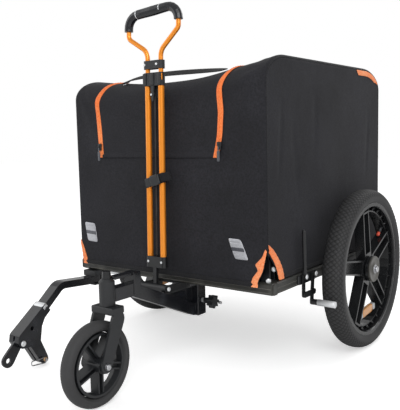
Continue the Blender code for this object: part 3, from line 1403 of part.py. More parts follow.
def make_handle():
    """The telescoping pull handle on its pivot under the front rail, leaning back a little on the cover."""
    axis = (HANDLE_X, HANDLE_AXIS_Y, HANDLE_AXIS_Z)
    ear_in = PIVOT_TUBE_HALF + GAP
    ear_out = ear_in + TOW_EAR_THICKNESS
    bracket = box(
        "handle_bracket",
        (HANDLE_X - ear_out, 0.001, TRAY_BOTTOM - GAP - 0.004),
        (HANDLE_X + ear_out, RAIL_THICKNESS - 0.001, TRAY_BOTTOM - GAP),
    )
    ear_outline = rounded(
        [
            (HANDLE_AXIS_Y - PIVOT_TUBE_RADIUS, HANDLE_AXIS_Z - PIVOT_TUBE_RADIUS),
            (RAIL_THICKNESS - 0.001, TRAY_BOTTOM - 0.016),
            (RAIL_THICKNESS - 0.001, TRAY_BOTTOM - GAP),
            (-0.001, TRAY_BOTTOM - GAP),
            (HANDLE_AXIS_Y - PIVOT_TUBE_RADIUS, HANDLE_AXIS_Z + PIVOT_TUBE_RADIUS),
        ],
        [0.008, 0.002, 0.0, 0.0, 0.008],
        count=3,
    )
    for side in (-1, 1):
        middle = HANDLE_X + side * (ear_in + ear_out) / 2
        bracket = join(bracket, plate("ear", [ear_outline], TOW_EAR_THICKNESS, (middle, 0.0, 0.0)))
    reach = ear_out + 0.004
    bolt = rod(
        "bolt",
        (HANDLE_X - reach, HANDLE_AXIS_Y, HANDLE_AXIS_Z),
        (HANDLE_X + reach, HANDLE_AXIS_Y, HANDLE_AXIS_Z),
        PIVOT_BOLT_RADIUS,
        16,
    )
    hang(join(bracket, bolt), ROOT, BLACK_STEEL)

    lean = -math.radians(HANDLE_LEAN_DEG)
    swing = empty("handle_swing", axis, ROOT, (lean, 0.0, 0.0))
    foot = pipe(
        "handle_foot",
        (HANDLE_X - PIVOT_TUBE_HALF, HANDLE_AXIS_Y, HANDLE_AXIS_Z),
        (HANDLE_X + PIVOT_TUBE_HALF, HANDLE_AXIS_Y, HANDLE_AXIS_Z),
        PIVOT_TUBE_RADIUS,
        PIVOT_BOLT_RADIUS + RUN,
    )
    stem_y = HANDLE_AXIS_Y + HANDLE_TUBE_OFFSET / 2
    stem = box(
        "stem",
        (HANDLE_X - STEM_HALF_WIDTH, stem_y - STEM_HALF_DEPTH, HANDLE_AXIS_Z + PIVOT_BOLT_RADIUS + 0.002),
        (HANDLE_X + STEM_HALF_WIDTH, stem_y + STEM_HALF_DEPTH, FOOT_BOTTOM + 0.004),
    )
    foot = join(foot, stem, tube_block("block", FOOT_BOTTOM, FOOT_TOP))
    lower_clamp = tube_block("handle_lower_clamp", LOWER_CLAMP_BOTTOM, LOWER_CLAMP_TOP)
    upper_clamp = tube_block("handle_upper_clamp", LOWER_CLAMP_TOP + CLAMP_GAP, UPPER_CLAMP_TOP)
    slide = empty("handle_extend", (HANDLE_X, HANDLE_TUBE_Y, LOWER_CLAMP_TOP), swing)
    for side, name in ((-1, "left"), (1, "right")):
        across = HANDLE_X + side * HANDLE_TUBE_HALF_SPACING
        seat = rod(
            "seat",
            (across, HANDLE_TUBE_Y, LOWER_TUBE_BOTTOM - GAP),
            (across, HANDLE_TUBE_Y, FOOT_TOP + 0.01),
            LOWER_TUBE_RADIUS + GAP,
            20,
        )
        foot = cut(foot, seat)
        lower = pipe(
            f"handle_lower_tube_{name}",
            (across, HANDLE_TUBE_Y, LOWER_TUBE_BOTTOM),
            (across, HANDLE_TUBE_Y, LOWER_TUBE_TOP),
            LOWER_TUBE_RADIUS,
            LOWER_TUBE_BORE,
        )
        hang(lower, swing, ORANGE_TUBE)
        wide = rod(
            "wide",
            (across, HANDLE_TUBE_Y, LOWER_CLAMP_BOTTOM - 0.01),
            (across, HANDLE_TUBE_Y, LOWER_TUBE_TOP + GAP),
            LOWER_TUBE_RADIUS + GAP,
            20,
        )
        narrow = rod(
            "narrow",
            (across, HANDLE_TUBE_Y, LOWER_TUBE_TOP - 0.002),
            (across, HANDLE_TUBE_Y, LOWER_CLAMP_TOP + 0.01),
            LOWER_TUBE_BORE,
            20,
        )
        lower_clamp = cut(lower_clamp, wide, narrow)
        socket = rod(
            "socket",
            (across, HANDLE_TUBE_Y, LOWER_CLAMP_TOP - 0.01),
            (across, HANDLE_TUBE_Y, UPPER_CLAMP_TOP + 0.01),
            UPPER_TUBE_RADIUS + GAP,
            20,
        )
        upper_clamp = cut(upper_clamp, socket)
        flare = GRIP_X + side * FLARE_HALF
        rise = side * FLARE_HALF * GRIP_RISE
        path = rounded(
            [
                (across, HANDLE_TUBE_Y, UPPER_TUBE_BOTTOM),
                (across, HANDLE_TUBE_Y, BEND_Z),
                (flare, HANDLE_TUBE_Y, FLARE_Z + rise),
                (flare, HANDLE_TUBE_Y, GRIP_END_Z + rise - GAP),
            ],
            [0, UPPER_BEND_RADIUS, FLARE_BEND_RADIUS, 0],
            count=5,
            closed=False,
        )
        hang(tube(f"handle_upper_tube_{name}", path, UPPER_TUBE_RADIUS), slide, ORANGE_TUBE)
    window = box(
        "window",
        (HANDLE_X + HANDLE_TUBE_HALF_SPACING + 0.0008, HANDLE_TUBE_Y - 0.02, LOWER_TUBE_TOP + 2 * GAP),
        (HANDLE_X + HANDLE_TUBE_HALF_SPACING + 0.02, HANDLE_TUBE_Y - 0.0015, LOWER_CLAMP_TOP - 0.002),
    )
    hang(foot, swing, BLACK_STEEL)
    hang(cut(lower_clamp, window), swing, BLACK_PLASTIC)
    hang(upper_clamp, slide, BLACK_PLASTIC)

    rise = FLARE_HALF * GRIP_RISE
    path = rounded(
        [
            (GRIP_X - FLARE_HALF, HANDLE_TUBE_Y, GRIP_END_Z - rise),
            (GRIP_X - FLARE_HALF, HANDLE_TUBE_Y, GRIP_TOP_Z - rise),
            (GRIP_X, HANDLE_TUBE_Y, GRIP_TOP_Z),
            (GRIP_X + FLARE_HALF, HANDLE_TUBE_Y, GRIP_TOP_Z + rise),
            (GRIP_X + FLARE_HALF, HANDLE_TUBE_Y, GRIP_END_Z + rise),
        ],
        [0, GRIP_BEND_RADIUS, 0, GRIP_BEND_RADIUS, 0],
        count=6,
        closed=False,
    )
    swell = [
        1.0 + (GRIP_SWELL - 1.0) * max(0.0, 1.0 - abs(place[0] - GRIP_X) / GRIP_SWELL_REACH)
        for place in path
    ]
    hang(tube("handle_grip", path, GRIP_RADIUS, swell=swell), slide, GRIP_PLASTIC)

    tongue_y = HANDLE_TUBE_Y - CLAMP_ROUND + TONGUE_THICKNESS / 2
    press = empty("lever_axis", (HANDLE_X, tongue_y, TONGUE_PIVOT_Z), swing)
    ear = 0.005
    low_z = TONGUE_PIVOT_Z - TONGUE_LENGTH * 0.55
    high_z = LOWER_CLAMP_BOTTOM - GAP
    tongue_outline = rounded(
        [
            (HANDLE_X - TONGUE_WIDTH / 2, high_z),
            (HANDLE_X - TONGUE_WIDTH / 2 + 0.002, low_z),
            (HANDLE_X + TONGUE_WIDTH / 2 - 0.002, low_z),
            (HANDLE_X + TONGUE_WIDTH / 2, high_z),
        ],
        [0.001, 0.004, 0.004, 0.001],
        count=3,
    )
    tongue = plate("release_lever", [tongue_outline], TONGUE_THICKNESS, (0.0, tongue_y, 0.0), FLAT_XZ)
    rivet = rod(
        "rivet",
        (HANDLE_X - TONGUE_WIDTH / 2 - 0.001, tongue_y, TONGUE_PIVOT_Z),
        (HANDLE_X + TONGUE_WIDTH / 2 + 0.001, tongue_y, TONGUE_PIVOT_Z),
        TONGUE_THICKNESS / 2 + 0.0008,
        10,
    )
    hang(join(tongue, rivet), press, BLACK_PLASTIC)
    keeper_outline = [
        (HANDLE_X - HANDLE_TUBE_HALF_SPACING + LOWER_TUBE_RADIUS + 0.0006, TONGUE_PIVOT_Z - ear),
        (HANDLE_X + HANDLE_TUBE_HALF_SPACING - LOWER_TUBE_RADIUS - 0.0006, TONGUE_PIVOT_Z - ear),
        (HANDLE_X + HANDLE_TUBE_HALF_SPACING - LOWER_TUBE_RADIUS - 0.0006, LOWER_CLAMP_BOTTOM - GAP),
        (HANDLE_X - HANDLE_TUBE_HALF_SPACING + LOWER_TUBE_RADIUS + 0.0006, LOWER_CLAMP_BOTTOM - GAP),
    ]
    keeper = plate(
        "lever_keeper",
        [keeper_outline],
        0.006,
        (0.0, tongue_y + TONGUE_THICKNESS / 2 + 0.0065, 0.0),
        FLAT_XZ,
    )
    latch_rod = rod(
        "latch_rod",
        (HANDLE_X, tongue_y + TONGUE_THICKNESS / 2 + 0.0065, FOOT_TOP + GAP),
        (HANDLE_X, tongue_y + TONGUE_THICKNESS / 2 + 0.0065, TONGUE_PIVOT_Z),
        0.0025,
        10,
    )
    hang(join(keeper, latch_rod), swing, BLACK_STEEL)
    make_handle_strap(swing)


def make_handle_strap(swing):
    """The webbing loop round both lower tubes, with its side-release buckle in front."""
    half = HANDLE_TUBE_HALF_SPACING + LOWER_TUBE_RADIUS + STRAP_CLEAR
    depth = LOWER_TUBE_RADIUS + STRAP_CLEAR
    outer = rounded(
        [(-half, -depth), (half, -depth), (half, depth), (-half, depth)], depth * 0.95, count=4
    )
    grown = half + STRAP_THICKNESS
    deep = depth + STRAP_THICKNESS
    shell = rounded([(-grown, -deep), (grown, -deep), (grown, deep), (-grown, deep)], deep * 0.95, count=4)
    loop = plate(
        "handle_strap",
        [shell, outer],
        2 * STRAP_HALF_HEIGHT,
        (HANDLE_X, HANDLE_TUBE_Y, STRAP_Z),
        Matrix.Identity(4),
    )
    front = HANDLE_TUBE_Y - deep
    buckle = box(
        "buckle",
        (HANDLE_X - BUCKLE_HALF_WIDTH, front - BUCKLE_THICKNESS + STRAP_THICKNESS / 2, STRAP_Z - BUCKLE_HALF_HEIGHT),
        (HANDLE_X + BUCKLE_HALF_WIDTH, front + STRAP_THICKNESS / 2, STRAP_Z + BUCKLE_HALF_HEIGHT),
        0.0025,
    )
    centre = Vector((HANDLE_X, front, STRAP_Z))
    tilt = Matrix.Rotation(-math.radians(BUCKLE_TILT_DEG), 4, "Y")
    buckle.data.transform(Matrix.Translation(centre) @ tilt @ Matrix.Translation(-centre))
    hang(join(loop, buckle), swing, WEBBING)


def make_tow_arm():
    """The tow arm on its corner bracket, the channel at its end, the hinged lug and the pull pin."""
    pivot_z = TOW_LEVEL_Z
    ear_top = TRAY_BOTTOM - GAP
    half = TOW_WIDTH / 2 + 0.006
    low = pivot_z - TOW_HEIGHT / 2 - RUN - TOW_EAR_THICKNESS
    roof = pivot_z + TOW_HEIGHT / 2 + RUN
    round_end = TOW_WIDTH / 2
    back = TOW_PIVOT_Y + round_end + 0.0015
    bracket = box(
        "tow_bracket", (TOW_X - half, TOW_PIVOT_Y - 0.022, roof), (TOW_X + half, back + 0.004, ear_top)
    )
    lower = box(
        "lower", (TOW_X - half, TOW_PIVOT_Y - 0.022, low), (TOW_X + half, back + 0.004, low + TOW_EAR_THICKNESS)
    )
    web = box("web", (TOW_X - half, back, low), (TOW_X + half, back + 0.004, ear_top - 0.001))
    pin = rod(
        "pin",
        (TOW_X, TOW_PIVOT_Y, low - 0.004),
        (TOW_X, TOW_PIVOT_Y, ear_top - 0.001),
        TOW_PIN_RADIUS,
        16,
    )
    hang(join(bracket, lower, web, pin), ROOT, BLACK_STEEL)

    swing = empty("tow_arm_swing", (TOW_X, TOW_PIVOT_Y, pivot_z), ROOT)
    path = rounded(
        [
            (TOW_PIVOT_Y, pivot_z),
            (TOW_PIVOT_Y - 0.040, pivot_z),
            (TOW_BEND_Y, TOW_BEND_Z),
            (TOW_BEND_Y - TOW_REACH, TOW_BEND_Z - TOW_DROP),
        ],
        [0, 0, 0.030, 0],
        count=5,
        closed=False,
    )
    beam = plate("tow_beam", [strip_outline(path, TOW_HEIGHT)], TOW_WIDTH, (TOW_X, 0.0, 0.0))
    eye = rod(
        "eye",
        (TOW_X, TOW_PIVOT_Y, pivot_z - TOW_HEIGHT / 2),
        (TOW_X, TOW_PIVOT_Y, pivot_z + TOW_HEIGHT / 2),
        round_end,
        24,
    )
    way = rod(
        "way",
        (TOW_X, TOW_PIVOT_Y, pivot_z - 0.03),
        (TOW_X, TOW_PIVOT_Y, pivot_z + 0.03),
        TOW_PIN_RADIUS + RUN,
        16,
    )
    beam = cut(join(beam, eye), way)
    chamfer = beam.modifiers.new("edges", "BEVEL")
    chamfer.width = 0.002
    chamfer.segments = 1
    chamfer.limit_method = "ANGLE"
    chamfer.angle_limit = math.radians(60)
    hang(beam, swing, BLACK_STEEL)

    along = Vector((-TOW_REACH, -TOW_DROP)).normalized()
    tip = Vector((TOW_BEND_Y - TOW_REACH, TOW_BEND_Z - TOW_DROP))
    square = Vector((-along.y, along.x))
    half_height = TOW_HEIGHT / 2 + GAP
    outer_half = half_height + HITCH_WALL
    start = tip - along * 0.030
    outline = [
        tuple(start - square * outer_half),
        (EYE_PIVOT_Y - 0.010, EYE_PIVOT_Z + 0.020),
        (EYE_PIVOT_Y - 0.013, EYE_PIVOT_Z + 0.002),
        (EYE_PIVOT_Y - 0.004, EYE_PIVOT_Z - 0.012),
        (HITCH_LEG_Y - 0.040, HITCH_LEG_Z + 0.042),
        (HITCH_LEG_Y - 0.011, HITCH_LEG_Z - 0.006),
        (HITCH_LEG_Y - 0.002, HITCH_LEG_Z - 0.011),
        (HITCH_LEG_Y + 0.010, HITCH_LEG_Z - 0.004),
        (HITCH_LEG_Y + 0.009, HITCH_LEG_Z + 0.006),
        (HITCH_LEG_Y - 0.010, HITCH_LEG_Z + 0.050),
        (HITCH_LEG_Y - 0.004, HITCH_LEG_Z + 0.085),
        tuple(tip + square * outer_half - along * 0.006),
        tuple(start + square * outer_half),
    ]
    outline = rounded(outline, [0, 0.008, 0.004, 0.004, 0.003, 0.003, 0.003, 0.003, 0.003, 0.006, 0.006, 0, 0], 3)
    width = TOW_WIDTH + 2 * (GAP + HITCH_WALL)
    channel = plate("hitch_bracket", [outline], width, (TOW_X, 0.0, 0.0))
    inner = [
        tuple(start - along * 0.02 + square * half_height),
        tuple(start - along * 0.02 - square * half_height),
        tuple(tip + along * 0.003 - square * half_height),
        tuple(tip + along * 0.003 + square * half_height),
    ]
    sleeve = plate("sleeve", [inner], TOW_WIDTH + 2 * GAP, (TOW_X, 0.0, 0.0))
    gullet = [
        (EYE_PIVOT_Y - 0.080, EYE_PIVOT_Z + 0.016),
        (EYE_PIVOT_Y + 0.012, EYE_PIVOT_Z + 0.018),
        (HITCH_LEG_Y + 0.060, HITCH_LEG_Z + 0.052),
        (HITCH_LEG_Y + 0.060, HITCH_LEG_Z - 0.040),
        (EYE_PIVOT_Y - 0.080, HITCH_LEG_Z - 0.040),
    ]
    mouth = plate("mouth", [gullet], EYE_THICKNESS + 2 * RUN, (TOW_X, 0.0, 0.0))
    crescent = rod(
        "crescent",
        (TOW_X - 0.05, EYE_PIVOT_Y + 0.028, EYE_PIVOT_Z + 0.030),
        (TOW_X + 0.05, EYE_PIVOT_Y + 0.028, EYE_PIVOT_Z + 0.030),
        0.005,
        12,
    )
    pin_way = rod(
        "pin_way",
        (TOW_X - 0.05, HITCH_LEG_Y, HITCH_LEG_Z),
        (TOW_X + 0.05, HITCH_LEG_Y, HITCH_LEG_Z),
        HITCH_PIN_RADIUS + RUN,
        12,
    )
    channel = cut(channel, sleeve, mouth, crescent, pin_way)
    bolt = rod(
        "bolt",
        (TOW_X - width / 2 - 0.003, EYE_PIVOT_Y, EYE_PIVOT_Z),
        (TOW_X + width / 2 + 0.003, EYE_PIVOT_Y, EYE_PIVOT_Z),
        TOW_PIN_RADIUS,
        12,
    )
    hang(join(channel, bolt), swing, BLACK_STEEL)

    lug_axis = empty("hitch_lug_axis", (TOW_X, EYE_PIVOT_Y, EYE_PIVOT_Z), swing)
    lug = plate(
        "hitch_lug",
        [
            capsule((EYE_PIVOT_Y, EYE_PIVOT_Z), (EYE_Y, EYE_Z), EYE_RADIUS * 0.72, EYE_RADIUS, count=9),
            circle(EYE_PIVOT_Y, EYE_PIVOT_Z, TOW_PIN_RADIUS + RUN, 12),
            circle(EYE_Y, EYE_Z, EYE_BORE, 16),
        ],
        EYE_THICKNESS,
        (TOW_X, 0.0, 0.0),
    )
    hang(lug, lug_axis, BLACK_STEEL)

    pull = empty("hitch_pin_slide", (TOW_X, HITCH_LEG_Y, HITCH_LEG_Z), swing)
    reach = width / 2 + 0.002
    pin = rod(
        "hitch_pin",
        (TOW_X - reach, HITCH_LEG_Y, HITCH_LEG_Z),
        (TOW_X + reach + 0.004, HITCH_LEG_Y, HITCH_LEG_Z),
        HITCH_PIN_RADIUS,
        12,
    )
    clip_x = TOW_X + reach + 0.003
    clip_path = rounded(
        [
            (clip_x, HITCH_LEG_Y, HITCH_LEG_Z),
            (clip_x, HITCH_LEG_Y - 0.004, HITCH_LEG_Z - 0.007),
            (clip_x, HITCH_LEG_Y - 0.044, HITCH_LEG_Z - 0.003),
            (clip_x, HITCH_LEG_Y - 0.046, HITCH_LEG_Z + 0.008),
            (clip_x, HITCH_LEG_Y - 0.006, HITCH_LEG_Z + 0.007),
        ],
        [0, 0.003, 0.004, 0.004, 0],
        count=2,
        closed=False,
    )
    clip = bake(tube("clip", clip_path, 0.0014, fineness=1))
    hang(join(pin, clip), pull, BRIGHT_STEEL)


def shade(objects):
    """Shades round pieces smooth and keeps their real edges sharp."""
    for obj in objects:
        if obj.type == "MESH":
            obj.data.shade_smooth()
            obj.data.set_sharp_from_angle(angle=math.radians(32))


make_tray()
make_cover()
make_front()
make_door()
make_side_frame(-1, "left", LEFT_LEG_INSET, LEFT_PIVOT_Z, ROOF_LEFT - LEFT_ROOF_DROP)
make_side_frame(1, "right", RIGHT_LEG_INSET, RIGHT_PIVOT_Z, ROOF_RIGHT - RIGHT_ROOF_DROP)
for wheel_side, wheel_name in ((-1, "left"), (1, "right")):
    make_wheel(wheel_side, wheel_name)
    make_brake(wheel_side, wheel_name)
make_caster(make_caster_arm())
make_handle()
make_tow_arm()
shade(PARTS.objects)
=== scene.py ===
"""Looks of a dog bike trailer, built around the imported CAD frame.

Its cloth cabin, tyres, wheel details, handle and fittings are made here. Sizes are metres. The classes work
in the trailer's own frame, in which Y runs back from the front rail, and every mesh is moved to the row
frame as it is made.
"""

import logging
import math
from dataclasses import dataclass, field
from enum import Enum
from typing import Iterable, Sequence

import bmesh
import bpy
import numpy as np
from mathutils import Matrix, Vector


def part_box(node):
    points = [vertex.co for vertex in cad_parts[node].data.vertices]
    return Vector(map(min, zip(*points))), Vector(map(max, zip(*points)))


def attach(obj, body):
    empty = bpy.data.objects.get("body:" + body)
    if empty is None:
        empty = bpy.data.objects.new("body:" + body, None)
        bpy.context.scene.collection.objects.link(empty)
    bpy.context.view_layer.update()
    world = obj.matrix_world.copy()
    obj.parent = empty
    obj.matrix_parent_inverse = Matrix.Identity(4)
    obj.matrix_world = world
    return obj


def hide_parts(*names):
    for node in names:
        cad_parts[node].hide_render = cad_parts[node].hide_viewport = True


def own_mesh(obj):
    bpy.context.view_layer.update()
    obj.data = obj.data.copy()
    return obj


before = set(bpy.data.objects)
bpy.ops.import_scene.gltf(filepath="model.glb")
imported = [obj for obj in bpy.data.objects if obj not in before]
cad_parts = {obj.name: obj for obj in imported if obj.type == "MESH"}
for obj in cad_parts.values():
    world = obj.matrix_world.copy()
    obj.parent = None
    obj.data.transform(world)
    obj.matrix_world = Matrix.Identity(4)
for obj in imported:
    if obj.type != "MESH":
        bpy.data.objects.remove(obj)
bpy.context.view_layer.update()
ROW_SHIFT = np.array([0.0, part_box("front_rail")[0].y, 0.0])
CABIN_CENTRE = np.array([0.0, 0.30, 0.45])
WELD_DISTANCE = 1e-6
LOG = logging.getLogger("dog_trailer")
Array = np.ndarray
Piece = bpy.types.Object


class Side(Enum):
    """Left or right of the trailer, seen from its front."""

    LEFT = -1
    RIGHT = 1

    @property
    def word(self) -> str:
        """Lower-case word used in piece names."""
        return self.name.lower()


# Curves and numbers


def unit(vectors: Array) -> Array:
    """Vectors of length 1 along the last axis."""
    return vectors / np.linalg.norm(vectors, axis=-1, keepdims=True)


def full_turn(count: int) -> Array:
    """Even steps of an angle once round."""
    return np.linspace(0, 2 * np.pi, count, endpoint=False)


def run_lengths(path: Array) -> Array:
    """Length along a path up to each of its points."""
    return np.concatenate([[0.0], np.cumsum(np.linalg.norm(np.diff(path, axis=0), axis=1))])


def bell(values: Array, middle: Array | float, width: float) -> Array:
    """The bell curve exp(-((x - middle) / width)^2)."""
    return np.exp(-(((values - middle) / width) ** 2))


def powered(values: Array, power: float) -> Array:
    """A power of each number's size, with the number's sign."""
    return np.sign(values) * np.abs(values) ** power


def quad_blend(corners: Sequence[Sequence[float]], share_across: Array, share_down: Array) -> Array:
    """Points of a four-cornered patch, as the blend of its corners by two shares.

    Args:
        corners: The four corners, in turn round the patch.
        share_across: Shares from the first to the second.
        share_down: Shares from the first to the fourth.

    Returns:
        The points, with a last axis like the corners'.
    """
    a, b, c, d = (np.array(corner) for corner in corners)
    s, w = share_across[..., None], share_down[..., None]
    return (a * (1 - s) + b * s) * (1 - w) + (d * (1 - s) + c * s) * w


def smooth_path(points: Sequence[Sequence[float]], count: int) -> Array:
    """A smooth curve through points, at even steps along it.

    The curve is a Catmull-Rom spline: each stretch is a cubic in its parameter whose tangents at its two
    ends are half the distance between the neighbouring points.

    Args:
        points: The points that the curve passes through.
        count: Number of points of the result.

    Returns:
        (count, 3) points.
    """
    knots = np.asarray(points, float)
    ends = np.concatenate([[2 * knots[0] - knots[1]], knots, [2 * knots[-1] - knots[-2]]])
    s = np.linspace(0, len(knots) - 1, 40 * len(knots))
    k = np.clip(s.astype(int), 0, len(knots) - 2)
    t = (s - k)[:, None]
    a, b, c, d = ends[k], ends[k + 1], ends[k + 2], ends[k + 3]
    fine = 0.5 * (2 * b + (c - a) * t + (2 * a - 5 * b + 4 * c - d) * t**2 + (3 * b - a - 3 * c + d) * t**3)
    run = run_lengths(fine)
    even = np.linspace(0, run[-1], count)
    return np.stack([np.interp(even, run, fine[:, i]) for i in range(3)], -1)


def ring(radius_across: float, radius_up: float, count: int, power: float = 2.0) -> Array:
    """A closed rounded profile: the superellipse |x/a|^p + |y/b|^p = 1 at even steps of its angle.

    Args:
        radius_across: Its half-width a.
        radius_up: Its half-height b.
        count: Number of points.
        power: Its power p.

    Returns:
        (count, 2) points.
    """
    turn = full_turn(count)
    across = radius_across * powered(np.cos(turn), 2 / power)
    return np.stack([across, radius_up * powered(np.sin(turn), 2 / power)], -1)


def sections(path: Array, profile: Array, across: Array, up: Array) -> Array:
    """Sets a flat profile at each point of a path, along two directions.

    Args:
        path: (n, 3) points.
        profile: (m, 2) or (n, m, 2) profile points.
        across: (n, 3) direction of the profile's first axis.
        up: (n, 3) direction of its second axis.

    Returns:
        (n, m, 3) grid of points.
    """
    flat = np.broadcast_to(profile, (len(path), *profile.shape[-2:]))
    return path[:, None] + (flat[..., :1] * across[:, None] + flat[..., 1:] * up[:, None])


def sweep(path: Array, profile: Array, facing: Sequence[float], scale: Array | float = 1.0) -> Array:
    """Carries a flat profile along a path.

    At each point the profile's first coordinate lies along the cross product of the path's direction and the
    facing vector, and its second along the facing vector made square to the path.

    Args:
        path: (n, 3) points.
        profile: (m, 2) profile points, turning anticlockwise.
        facing: Direction that the profile's second axis points to.
        scale: Size of the profile, one number or one for each point of the path.

    Returns:
        (n, m, 3) grid of points.
    """
    along = unit(np.gradient(path, axis=0))
    face = np.broadcast_to(np.asarray(facing, float), path.shape)
    face = unit(face - (face * along).sum(1, keepdims=True) * along)
    size = np.broadcast_to(np.asarray(scale, float), (len(path),))[:, None, None]
    return sections(path, size * profile[None], np.cross(along, face), face)


# Mesh making


def make_mesh(name: str, points: Array, faces: Array, uv: Array | None = None) -> Piece:
    """Puts arrays into a mesh object at the row frame's origin.

    Args:
        name: Name of the piece.
        points: (n, 3) points in the trailer's frame.
        faces: (m, k) vertex numbers of each face.
        uv: Optional (m * k, 2) map in metres, one pair for each face corner.

    Returns:
        The new object, shaded smooth.
    """
    mesh = bpy.data.meshes.new(name)
    mesh.from_pydata((points + ROW_SHIFT).tolist(), [], faces.tolist())
    if uv is not None:
        mesh.uv_layers.new(name="cut").data.foreach_set("uv", uv.astype(np.float32).ravel())
    mesh.shade_smooth()
    return in_scene(name, mesh)


def in_scene(name: str, data: bpy.types.ID) -> Piece:
    """A new object of the scene that holds a mesh, camera or lamp."""
    obj = bpy.data.objects.new(name, data)
    bpy.context.scene.collection.objects.link(obj)
    return obj


def grid_faces(rows: int, columns: int, loop_rows: bool, loop_columns: bool) -> Array:
    """Quads of a grid of vertices, joined end to end where it loops.

    Args:
        rows: Number of rows.
        columns: Number of columns.
        loop_rows: Whether the last row joins the first.
        loop_columns: Whether the last column joins the first.

    Returns:
        (m, 4) vertex numbers.
    """
    down = np.arange(rows if loop_rows else rows - 1)
    over = np.arange(columns if loop_columns else columns - 1)
    i, j = np.meshgrid(down, over, indexing="ij")
    i2, j2 = (i + 1) % rows, (j + 1) % columns
    quads = [i * columns + j, i2 * columns + j, i2 * columns + j2, i * columns + j2]
    return np.stack(quads, -1).reshape(-1, 4)


def grid_uv(points: Array, loop_rows: bool, loop_columns: bool) -> Array:
    """Lengths along a grid's rows and columns, as a map in metres for each face corner.

    The length along a direction is the running sum of the mean distance between neighbouring lines.
    """
    down = np.concatenate([points, points[:1]]) if loop_rows else points
    over = np.concatenate([points, points[:, :1]], 1) if loop_columns else points
    u = np.concatenate([[0.0], np.cumsum(np.linalg.norm(np.diff(down, axis=0), axis=2).mean(1))])
    v = np.concatenate([[0.0], np.cumsum(np.linalg.norm(np.diff(over, axis=1), axis=2).mean(0))])
    i, j = np.meshgrid(np.arange(len(u) - 1), np.arange(len(v) - 1), indexing="ij")
    corners = [(i, j), (i + 1, j), (i + 1, j + 1), (i, j + 1)]
    return np.stack([np.stack([u[a], v[b]], -1) for a, b in corners], 2).reshape(-1, 2)


def surface(name: str, points: Array, loop_rows: bool = False, loop_columns: bool = False) -> Piece:
    """A mesh from a (rows, columns, 3) grid of points.

    Args:
        name: Name of the piece.
        points: Grid of points in the trailer's frame.
        loop_rows: Whether rows close into a ring.
        loop_columns: Whether columns close into a ring.

    Returns:
        The new object.
    """
    faces = grid_faces(*points.shape[:2], loop_rows, loop_columns)
    return make_mesh(name, points.reshape(-1, 3), faces, grid_uv(points, loop_rows, loop_columns))


def merge(name: str, parts: Sequence[Piece], weld: bool = False) -> Piece:
    """Joins mesh objects into one object, and welds points that fall together where weld is set.

    Args:
        name: Name of the joined piece.
        parts: Objects to join, which are used up.
        weld: Whether doubles are merged.

    Returns:
        The joined object.
    """
    joined = bmesh.new()
    for part in parts:
        part.data.transform(part.matrix_world)
        joined.from_mesh(part.data)
    if weld:
        bmesh.ops.remove_doubles(joined, verts=joined.verts, dist=WELD_DISTANCE)
        bmesh.ops.recalc_face_normals(joined, faces=joined.faces)
    mesh = bpy.data.meshes.new(name)
    joined.to_mesh(mesh)
    joined.free()
    mesh.shade_smooth()
    for part in parts:
        bpy.data.objects.remove(part, do_unlink=True)
    return in_scene(name, mesh)


def capped(name: str, rings: Array) -> Piece:
    """A tube through a (rows, columns, 3) stack of rings, with its first and last ring filled."""
    columns = rings.shape[1]
    tube = surface(name, rings, loop_columns=True)
    first = np.arange(columns)
    ends = make_mesh("ends", rings[[0, -1]].reshape(-1, 3), np.stack([first[::-1], columns + first]))
    return merge(name, [tube, ends], weld=True)


def looped(name: str, grid: Array, both: bool = True) -> Piece:
    """A closed piece from rings that join end to end; both says whether each ring closes too."""
    return merge(name, [surface(name, grid, loop_rows=True, loop_columns=both)], weld=True)


def facing_out(points: Array, centre: Array) -> Array:
    """A grid whose faces look away from a centre: its columns are turned round where they don't."""
    across = points[1:, :-1] - points[:-1, :-1]
    along = points[:-1, 1:] - points[:-1, :-1]
    out = points[:-1, :-1] - centre
    return points[:, ::-1] if (np.cross(across, along) * out).sum() < 0 else points


def settle(obj: Piece) -> Piece:
    """Applies an object's modifiers to its mesh."""
    bpy.context.view_layer.update()
    graph = bpy.context.evaluated_depsgraph_get()
    mesh = bpy.data.meshes.new_from_object(obj.evaluated_get(graph))
    obj.modifiers.clear()
    obj.data = mesh
    return obj


def cloth(name: str, points: Array, thickness: float, centre: Array = CABIN_CENTRE) -> Piece:
    """A sheet from a grid of points, with its thickness on the side of a centre.

    Args:
        name: Name of the piece.
        points: Grid of points of its outer face.
        thickness: Its thickness.
        centre: The point that its inner face looks to.

    Returns:
        The new closed object.
    """
    obj = surface(name, facing_out(points, centre))
    wall = obj.modifiers.new("wall", "SOLIDIFY")
    wall.thickness = thickness
    wall.offset = -1.0
    wall.use_quality_normals = True
    return settle(obj)


def carve(obj: Piece, cutters: Sequence[Piece]) -> Piece:
    """Cuts closed cutters out of a closed piece and removes them.

    Args:
        obj: The piece.
        cutters: The cutters, which are used up.

    Returns:
        The cut piece.
    """
    for cutter in cutters:
        step = obj.modifiers.new("carve", "BOOLEAN")
        step.operation = "DIFFERENCE"
        step.solver = "EXACT"
        step.object = cutter
        obj = settle(obj)
        bpy.data.objects.remove(cutter, do_unlink=True)
    return obj


def spun(
    name: str, profile: Array, centre: Sequence[float], axis: Array, first: Array, steps: int
) -> Piece:
    """A solid of revolution: profile points (along, radius) turned about an axis through the centre.

    Args:
        name: Name of the piece.
        profile: (n, 2) points of (along, radius), with radius 0 at the ends of a closed piece.
        centre: A point on the axis.
        axis: Direction of the axis, of length 1.
        first: Direction square to it, in which the first line of points lies.
        steps: Number of steps round it.

    Returns:
        The new object, welded and facing out.
    """
    turn = full_turn(steps)[:, None]
    spokes = np.cos(turn) * first + np.sin(turn) * np.cross(axis, first)
    points = np.asarray(centre) + profile[None, :, :1] * axis + profile[None, :, 1:] * spokes[:, None]
    return looped(name, points, both=False)


